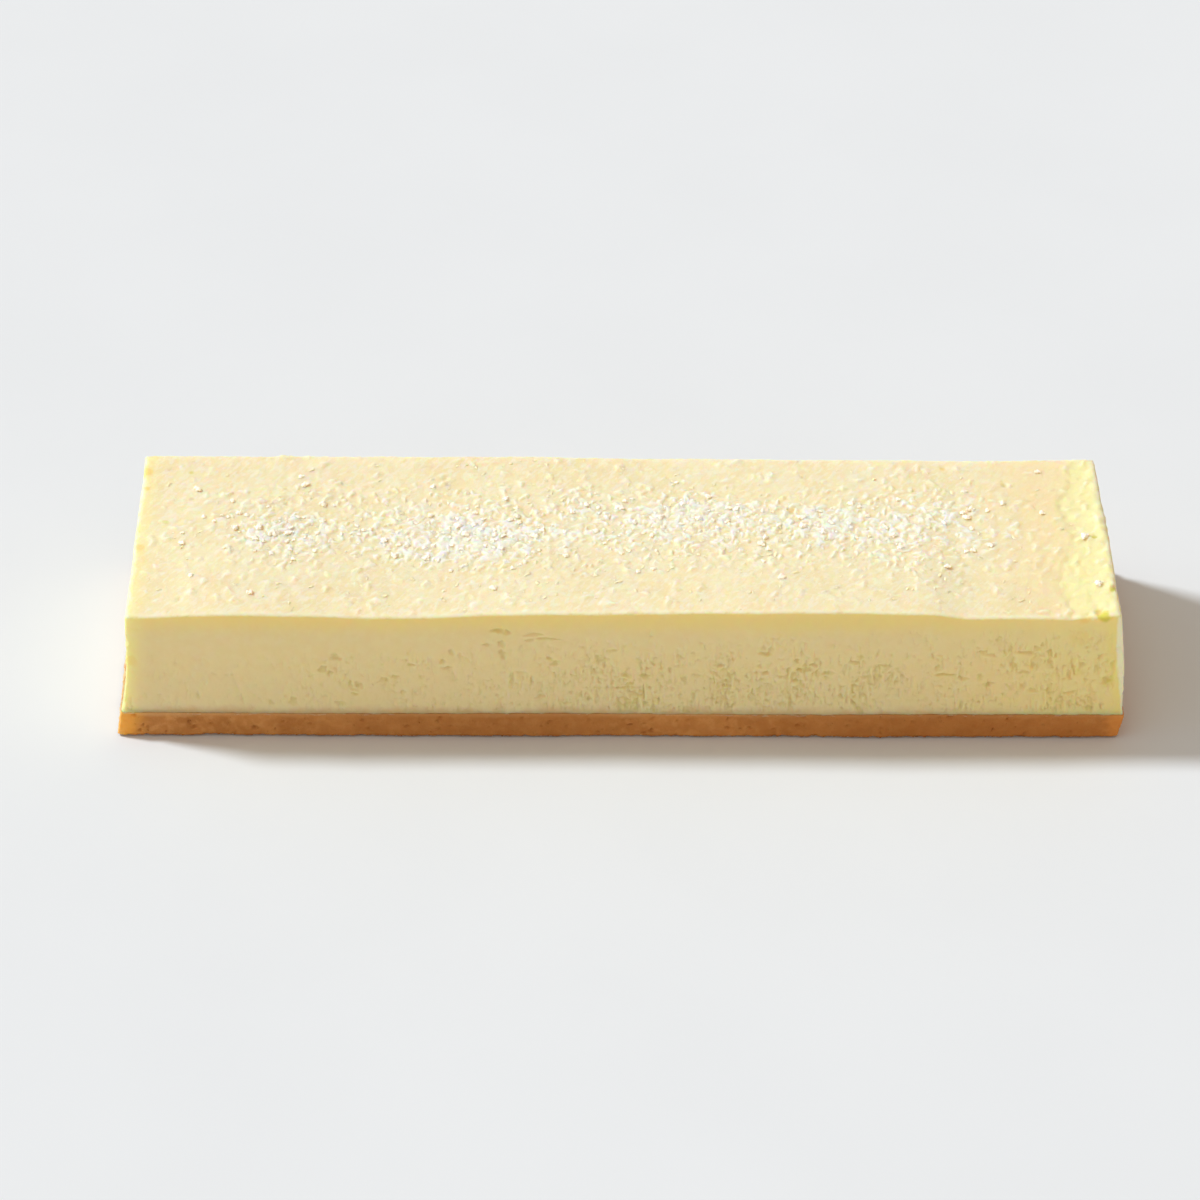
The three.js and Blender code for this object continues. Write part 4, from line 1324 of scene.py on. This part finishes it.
class BiscuitSettings(bpy.types.PropertyGroup):
    """Crumb relief and colours of the biscuit base."""

    crumb_relief: length_setting("Crumb relief", "Height of the crumb in the walls", 0.0002)
    nick_count: count_setting("Nicks", "Places where crumbs broke off", 260)
    seed: count_setting("Seed", "Draws the nicks and loose crumbs", 613)
    loose_crumbs: count_setting("Loose crumbs", "Crumbs that stick out of the walls", 420)
    crumb_colour: colour_setting("Crumb", "Baked biscuit", (0.63, 0.275, 0.08))
    crumb_pale_colour: colour_setting("Crumb, pale", "Paler grains", (0.74, 0.38, 0.13))
    # Darker grains and bands, and painted shade inside the nicks.
    crumb_dark_and_nick_shade_colour: colour_setting("Crumb, dark", "Grains and nicks", (0.43, 0.16, 0.035))
    # Painted contact shade along the foot of the base.
    contact_shade_colour: colour_setting("Foot", "Crumb that baked darkest", (0.26, 0.075, 0.015))
    moist_colour: colour_setting("Under the cheese", "Soaked crumb", (0.78, 0.45, 0.19))
    left_end_colour: colour_setting("Left end", "Crumb lit through", (1.0, 0.46, 0.07))
    baked_colour: colour_setting("Right part", "Crumb that baked darker", (0.58, 0.19, 0.03))
    right_end_colour: colour_setting("Right end", "Crumb at the corner", (0.85, 0.33, 0.07))
    smear_colour: colour_setting("Smear", "Cheese drawn over the left end", (0.96, 0.85, 0.5))


class SugarSettings(bpy.types.PropertyGroup):
    """Amounts, sizes and colours of the icing sugar."""

    small_clumps: count_setting("Small clumps", "Dry clumps besides the large", 330)
    specks: count_setting("Specks", "Single dry grains", 260)
    melted_bumps: count_setting("Melted bumps", "Half-melted grains", 450)
    sugar_colour: colour_setting("Dry sugar", "White of the dry clumps", (1.0, 0.96, 0.91))
    # Warmer clumps at random, and their warm feet: sugar soaked with cream and painted warm shade.
    warm_colour: colour_setting("Dry sugar, warm", "Moist clumps", (0.95, 0.855, 0.6))
    melted_colour: colour_setting("Melted sugar", "Half-melted grains", (0.95, 0.87, 0.63))
    melted_warm_colour: colour_setting("Melted sugar, warm", "Nearly melted", (0.93, 0.82, 0.5))


class StageSettings(bpy.types.PropertyGroup):
    """Floor, light and camera."""

    floor_colour: colour_setting("Floor", "Plain pale floor", (0.8, 0.835, 0.89))
    sun_strength: FloatProperty(name="Sun", description="Strength of the key light", default=2.5)
    sun_size: angle_setting("Sun size", "Angle across the key light", 9)
    sun_height: angle_setting("Sun height", "Key light above the horizon", 46)
    sun_heading: angle_setting("Sun heading", "Turn of the light's way from +X towards -Y", 19.5)
    sun_colour: colour_setting("Sun colour", "Key light", (0.93, 0.98, 1.0))
    sky_colour: colour_setting("Sky", "Fill from the back and above", (0.47, 0.445, 0.42))
    warm_sky_colour: colour_setting("Sky, right", "Fill from the right", (0.45, 0.345, 0.24))
    window_colour: colour_setting("Window", "Fill from the left", (0.85, 0.87, 0.86))
    front_colour: colour_setting("Reflector", "Fill from low in front", (0.77, 0.69, 0.5))
    camera_distance: length_setting("Camera distance", "From the lens to the bar", 0.936)
    camera_pitch: angle_setting("Camera pitch", "How far the camera looks down", 38)
    camera_lens: FloatProperty(
        name="Lens", description="Focal length in mm on a 36 mm sensor", default=139.74,
    )


# ------------------------------------------------------------------------------ operators

class CHEESECAKE_OT_cheese(bpy.types.Operator):
    """Models the cheese layer with its curd, pits and baked top."""

    bl_idname = "cheesecake.cheese"
    bl_label = "Cheese layer"

    def execute(self, context):
        settings = context.scene.cheesecake_cheese
        piece = cheese_block()
        shape_cheese(piece)
        finish_mesh(piece, 180)
        curdle_cheese(piece, settings)
        finish_mesh(piece, 75)
        mark_cheese(piece, settings)
        move_points(piece, points_of(piece) + BAR_MIDDLE)
        give_finish(piece, make_cheese_finish(settings))
        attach(piece, "root")
        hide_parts("cheese_layer")
        return {"FINISHED"}


class CHEESECAKE_OT_biscuit(bpy.types.Operator):
    """Models the biscuit base and the crumbs that stand out of it."""

    bl_idname = "cheesecake.biscuit"
    bl_label = "Biscuit base"

    def execute(self, context):
        settings = context.scene.cheesecake_biscuit
        piece = base_block()
        shape_base(piece)
        finish_mesh(piece, 180)
        crumble_base(piece, settings)
        finish_mesh(piece, 60)
        move_points(piece, points_of(piece) + BAR_MIDDLE)
        material = make_biscuit_finish(settings)
        give_finish(piece, material)
        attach(piece, "root")
        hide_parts("biscuit_base")
        self.add_crumbs(settings, material)
        return {"FINISHED"}

    @staticmethod
    def add_crumbs(settings, material):
        rng = np.random.default_rng(settings.seed + 1)
        models = [crumbly_model(number, 3, 44) for number in range(40, 44)]
        count = settings.loose_crumbs
        sizes = rng.uniform(0.14, 0.42, count)
        places = []
        for size in sizes:
            face = rng.choice(("front", "back", "left", "right"), p=(0.38, 0.38, 0.12, 0.12))
            height = rng.uniform(0.5, BASE_THICKNESS - 0.35)
            places.append(point_on_face(face, rng.uniform(0.012, 0.988), height, 0.35 * size + 0.1))
        radii = sizes[:, None] * rng.uniform(0.7, 1.2, (count, 3))
        piece = heap(
            "biscuit_crumbs", models, places, radii, rng.uniform(0, ALL_ROUND, count),
            rng.uniform(-0.6, 0.6, count), rng.random(count),
        )
        store(piece, "sunk", np.zeros(len(piece.data.vertices)))
        give_finish(piece, material)
        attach(piece, "root")


class CHEESECAKE_OT_dry_sugar(bpy.types.Operator):
    """Strews the dry clumps of icing sugar and its single grains over the top."""

    bl_idname = "cheesecake.dry_sugar"
    bl_label = "Dry icing sugar"

    def execute(self, context):
        settings = context.scene.cheesecake_sugar
        material = make_sugar_finish("icing_sugar", settings.sugar_colour, settings.warm_colour)
        self.add_large_clumps(material)
        self.add_small_clumps(settings, material)
        self.add_specks(settings, material)
        return {"FINISHED"}

    @staticmethod
    def keep(piece, material):
        give_finish(piece, material)
        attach(piece, "root")

    def add_large_clumps(self, material):
        rng = np.random.default_rng(SUGAR_SEED)
        models = [crumbly_model(number, 9, 300) for number in range(10)]
        clumps = np.array(solid_clumps())
        count = len(clumps)
        radii = np.column_stack((clumps[:, 2], clumps[:, 3], clumps[:, 2] * CLUMP_SQUASH))
        places = laid_on_top(clumps[:, :2], radii, CLUMP_SINK)
        self.keep(heap(
            "sugar_clumps", models, places, radii, rng.uniform(0, ALL_ROUND, count),
            rng.uniform(-0.15, 0.15, count), rng.uniform(0, 0.3, count), (0.35, -0.35),
        ), material)

    def add_small_clumps(self, settings, material):
        rng = np.random.default_rng(SUGAR_SEED + 1)
        models = [crumbly_model(number, 6, 120) for number in range(20, 28)]
        count = settings.small_clumps
        places = strewn(rng, count, lambda x, y: 1.2 * sugar_cover(x, y) - 0.06)
        sizes = 0.24 + 0.42 * rng.random(count) ** 1.6
        radii = sizes[:, None] * rng.uniform((0.85, 0.65, 0.26), (1.4, 1.1, 0.46), (count, 3))
        self.keep(heap(
            "sugar_crumbs", models, laid_on_top(places, radii, 0.34), radii,
            rng.normal(1.0, 0.7, count), rng.uniform(-0.2, 0.2, count), rng.random(count) ** 2,
            (0.6, -0.2),
        ), material)

    def add_specks(self, settings, material):
        rng = np.random.default_rng(SUGAR_SEED + 2)
        models = [crumbly_model(number, 1, 20) for number in range(30, 33)]
        count = settings.specks
        places = strewn(rng, count, lambda x, y: 1.2 * sugar_cover(x, y) - 0.06)
        sizes = rng.uniform(0.07, 0.2, count)
        radii = sizes[:, None] * rng.uniform((0.8, 0.7, 0.4), (1.3, 1.1, 0.7), (count, 3))
        self.keep(heap(
            "sugar_specks", models, laid_on_top(places, radii, 0.3), radii,
            rng.uniform(0, ALL_ROUND, count), rng.uniform(-0.5, 0.5, count),
            rng.random(count), (0.5, -0.2),
        ), material)


class CHEESECAKE_OT_melted_sugar(bpy.types.Operator):
    """Covers the top with the low bumps of half-melted sugar."""

    bl_idname = "cheesecake.melted_sugar"
    bl_label = "Melted icing sugar"

    def execute(self, context):
        settings = context.scene.cheesecake_sugar
        material = make_sugar_finish(
            "melted_sugar", settings.melted_colour, settings.melted_warm_colour,
        )
        rng = np.random.default_rng(SUGAR_SEED + 3)
        models = [crumbly_model(number, 4, 80) for number in range(50, 58)]
        count = settings.melted_bumps
        places = strewn(rng, count, creamy_cover)
        sizes = 0.24 + 0.4 * rng.random(count) ** 1.8
        radii = sizes[:, None] * rng.uniform((0.9, 0.6, 0.14), (1.7, 1.0, 0.26), (count, 3))
        piece = heap(
            "melted_sugar", models, laid_on_top(places, radii, 0.25), radii,
            rng.normal(1.0, 0.7, count), rng.uniform(-0.1, 0.1, count), rng.random(count),
        )
        give_finish(piece, material)
        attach(piece, "root")
        return {"FINISHED"}


class CHEESECAKE_OT_stage(bpy.types.Operator):
    """Lays the floor and sets the light and the camera."""

    bl_idname = "cheesecake.stage"
    bl_label = "Floor, light and camera"

    def execute(self, context):
        settings = context.scene.cheesecake_stage
        self.lay_floor(settings)
        self.light(context, settings)
        self.aim_camera(context, settings)
        context.scene.view_settings.view_transform = "Standard"
        return {"FINISHED"}

    @staticmethod
    def lay_floor(settings):
        start_afresh()
        bpy.ops.mesh.primitive_circle_add(
            vertices=96, radius=4, fill_type="NGON", location=(0, 0, -0.05 * MM),
        )
        floor = added_piece("floor")
        material = bpy.data.materials.new("pale_floor")
        finish = Finish(material)
        cloud = finish.speckle(finish.place()[0], 60, 3)
        colour = tuple(settings.floor_colour)
        darker = tuple(0.985 * channel for channel in colour)
        finish.surface({
            "Base Color": finish.mix(cloud.between(0.3, 0.7), colour, darker),
            "Roughness": 0.7,
            "Specular IOR Level": 0.2,
        })
        give_finish(floor, material)

    @staticmethod
    def light(context, settings):
        height, heading = settings.sun_height, settings.sun_heading
        level = math.cos(height)
        way = Vector((level * math.cos(heading), -level * math.sin(heading), -math.sin(height)))
        lamp = bpy.data.lights.new("key_light", "SUN")
        lamp.energy, lamp.angle = settings.sun_strength, settings.sun_size
        lamp.color = settings.sun_colour
        sun = bpy.data.objects.new("key_light", lamp)
        sun.rotation_euler = way.to_track_quat("-Z", "Y").to_euler()
        context.scene.collection.objects.link(sun)
        world = bpy.data.worlds.new("studio")
        context.scene.world = world
        finish = Finish(world)
        _, x, y, z = finish.place("Generated")
        reflector = (0 - y).between(0.3, 0.95) * (1 - z.between(0.2, 0.75))
        sky = finish.coated(
            tuple(settings.sky_colour),
            (x.between(-0.6, 0.9), settings.warm_sky_colour),
            (reflector, settings.front_colour),
            ((0 - x).between(0.5, 0.95), settings.window_colour),
        )
        background = finish.node("ShaderNodeBackground", {}, {"Color": sky, "Strength": 1.0})
        finish.node("ShaderNodeOutputWorld", {}, {"Surface": background})

    @staticmethod
    def aim_camera(context, settings):
        pitch = settings.camera_pitch
        yaw, roll = math.radians(CAMERA_YAW), math.radians(CAMERA_ROLL)
        level = math.cos(pitch)
        ahead = Vector((math.sin(yaw) * level, math.cos(yaw) * level, -math.sin(pitch)))
        right = Vector((math.cos(yaw), -math.sin(yaw), 0))
        above = right.cross(ahead)
        across = math.cos(roll) * right + math.sin(roll) * above
        upward = math.cos(roll) * above - math.sin(roll) * right
        camera = bpy.data.objects.new("camera", bpy.data.cameras.new("camera"))
        camera.data.sensor_width = 36
        camera.data.lens = settings.camera_lens
        turn = Matrix((across, upward, -ahead)).transposed().to_4x4()
        reach = settings.camera_distance
        stand = Vector(CAMERA_AIM) * MM + Vector((0, -reach * level, reach * math.sin(pitch)))
        camera.matrix_world = Matrix.Translation(stand) @ turn
        context.scene.collection.objects.link(camera)
        context.scene.camera = camera


class CHEESECAKE_PT_sidebar(bpy.types.Panel):
    """Lists the pieces and their settings."""

    bl_idname = "CHEESECAKE_PT_sidebar"
    bl_label = "Cheesecake bar"
    bl_space_type = "VIEW_3D"
    bl_region_type = "UI"
    bl_category = "Cheesecake"

    def draw(self, context):
        for operator, group in PIECES:
            box = self.layout.box()
            box.operator(operator)
            settings = getattr(context.scene, group)
            for name in settings.bl_rna.properties.keys():
                if name not in ("rna_type", "name"):
                    box.prop(settings, name)


PIECES = (
    ("cheesecake.cheese", "cheesecake_cheese"),
    ("cheesecake.biscuit", "cheesecake_biscuit"),
    ("cheesecake.dry_sugar", "cheesecake_sugar"),
    ("cheesecake.melted_sugar", "cheesecake_sugar"),
    ("cheesecake.stage", "cheesecake_stage"),
)
SETTINGS = {
    "cheesecake_cheese": CheeseSettings,
    "cheesecake_biscuit": BiscuitSettings,
    "cheesecake_sugar": SugarSettings,
    "cheesecake_stage": StageSettings,
}
OPERATORS = (
    CHEESECAKE_OT_cheese, CHEESECAKE_OT_biscuit, CHEESECAKE_OT_dry_sugar,
    CHEESECAKE_OT_melted_sugar, CHEESECAKE_OT_stage, CHEESECAKE_PT_sidebar,
)


def register():
    for name, group in SETTINGS.items():
        bpy.utils.register_class(group)
        setattr(bpy.types.Scene, name, PointerProperty(type=group))
    for kind in OPERATORS:
        bpy.utils.register_class(kind)


def unregister():
    for kind in reversed(OPERATORS):
        bpy.utils.unregister_class(kind)
    for name, group in SETTINGS.items():
        delattr(bpy.types.Scene, name)
        bpy.utils.unregister_class(group)


def main():
    """Models every piece in turn."""
    register()
    bpy.ops.cheesecake.cheese()
    bpy.ops.cheesecake.biscuit()
    bpy.ops.cheesecake.dry_sugar()
    bpy.ops.cheesecake.melted_sugar()
    bpy.ops.cheesecake.stage()


if __name__ == "__main__":
    main()
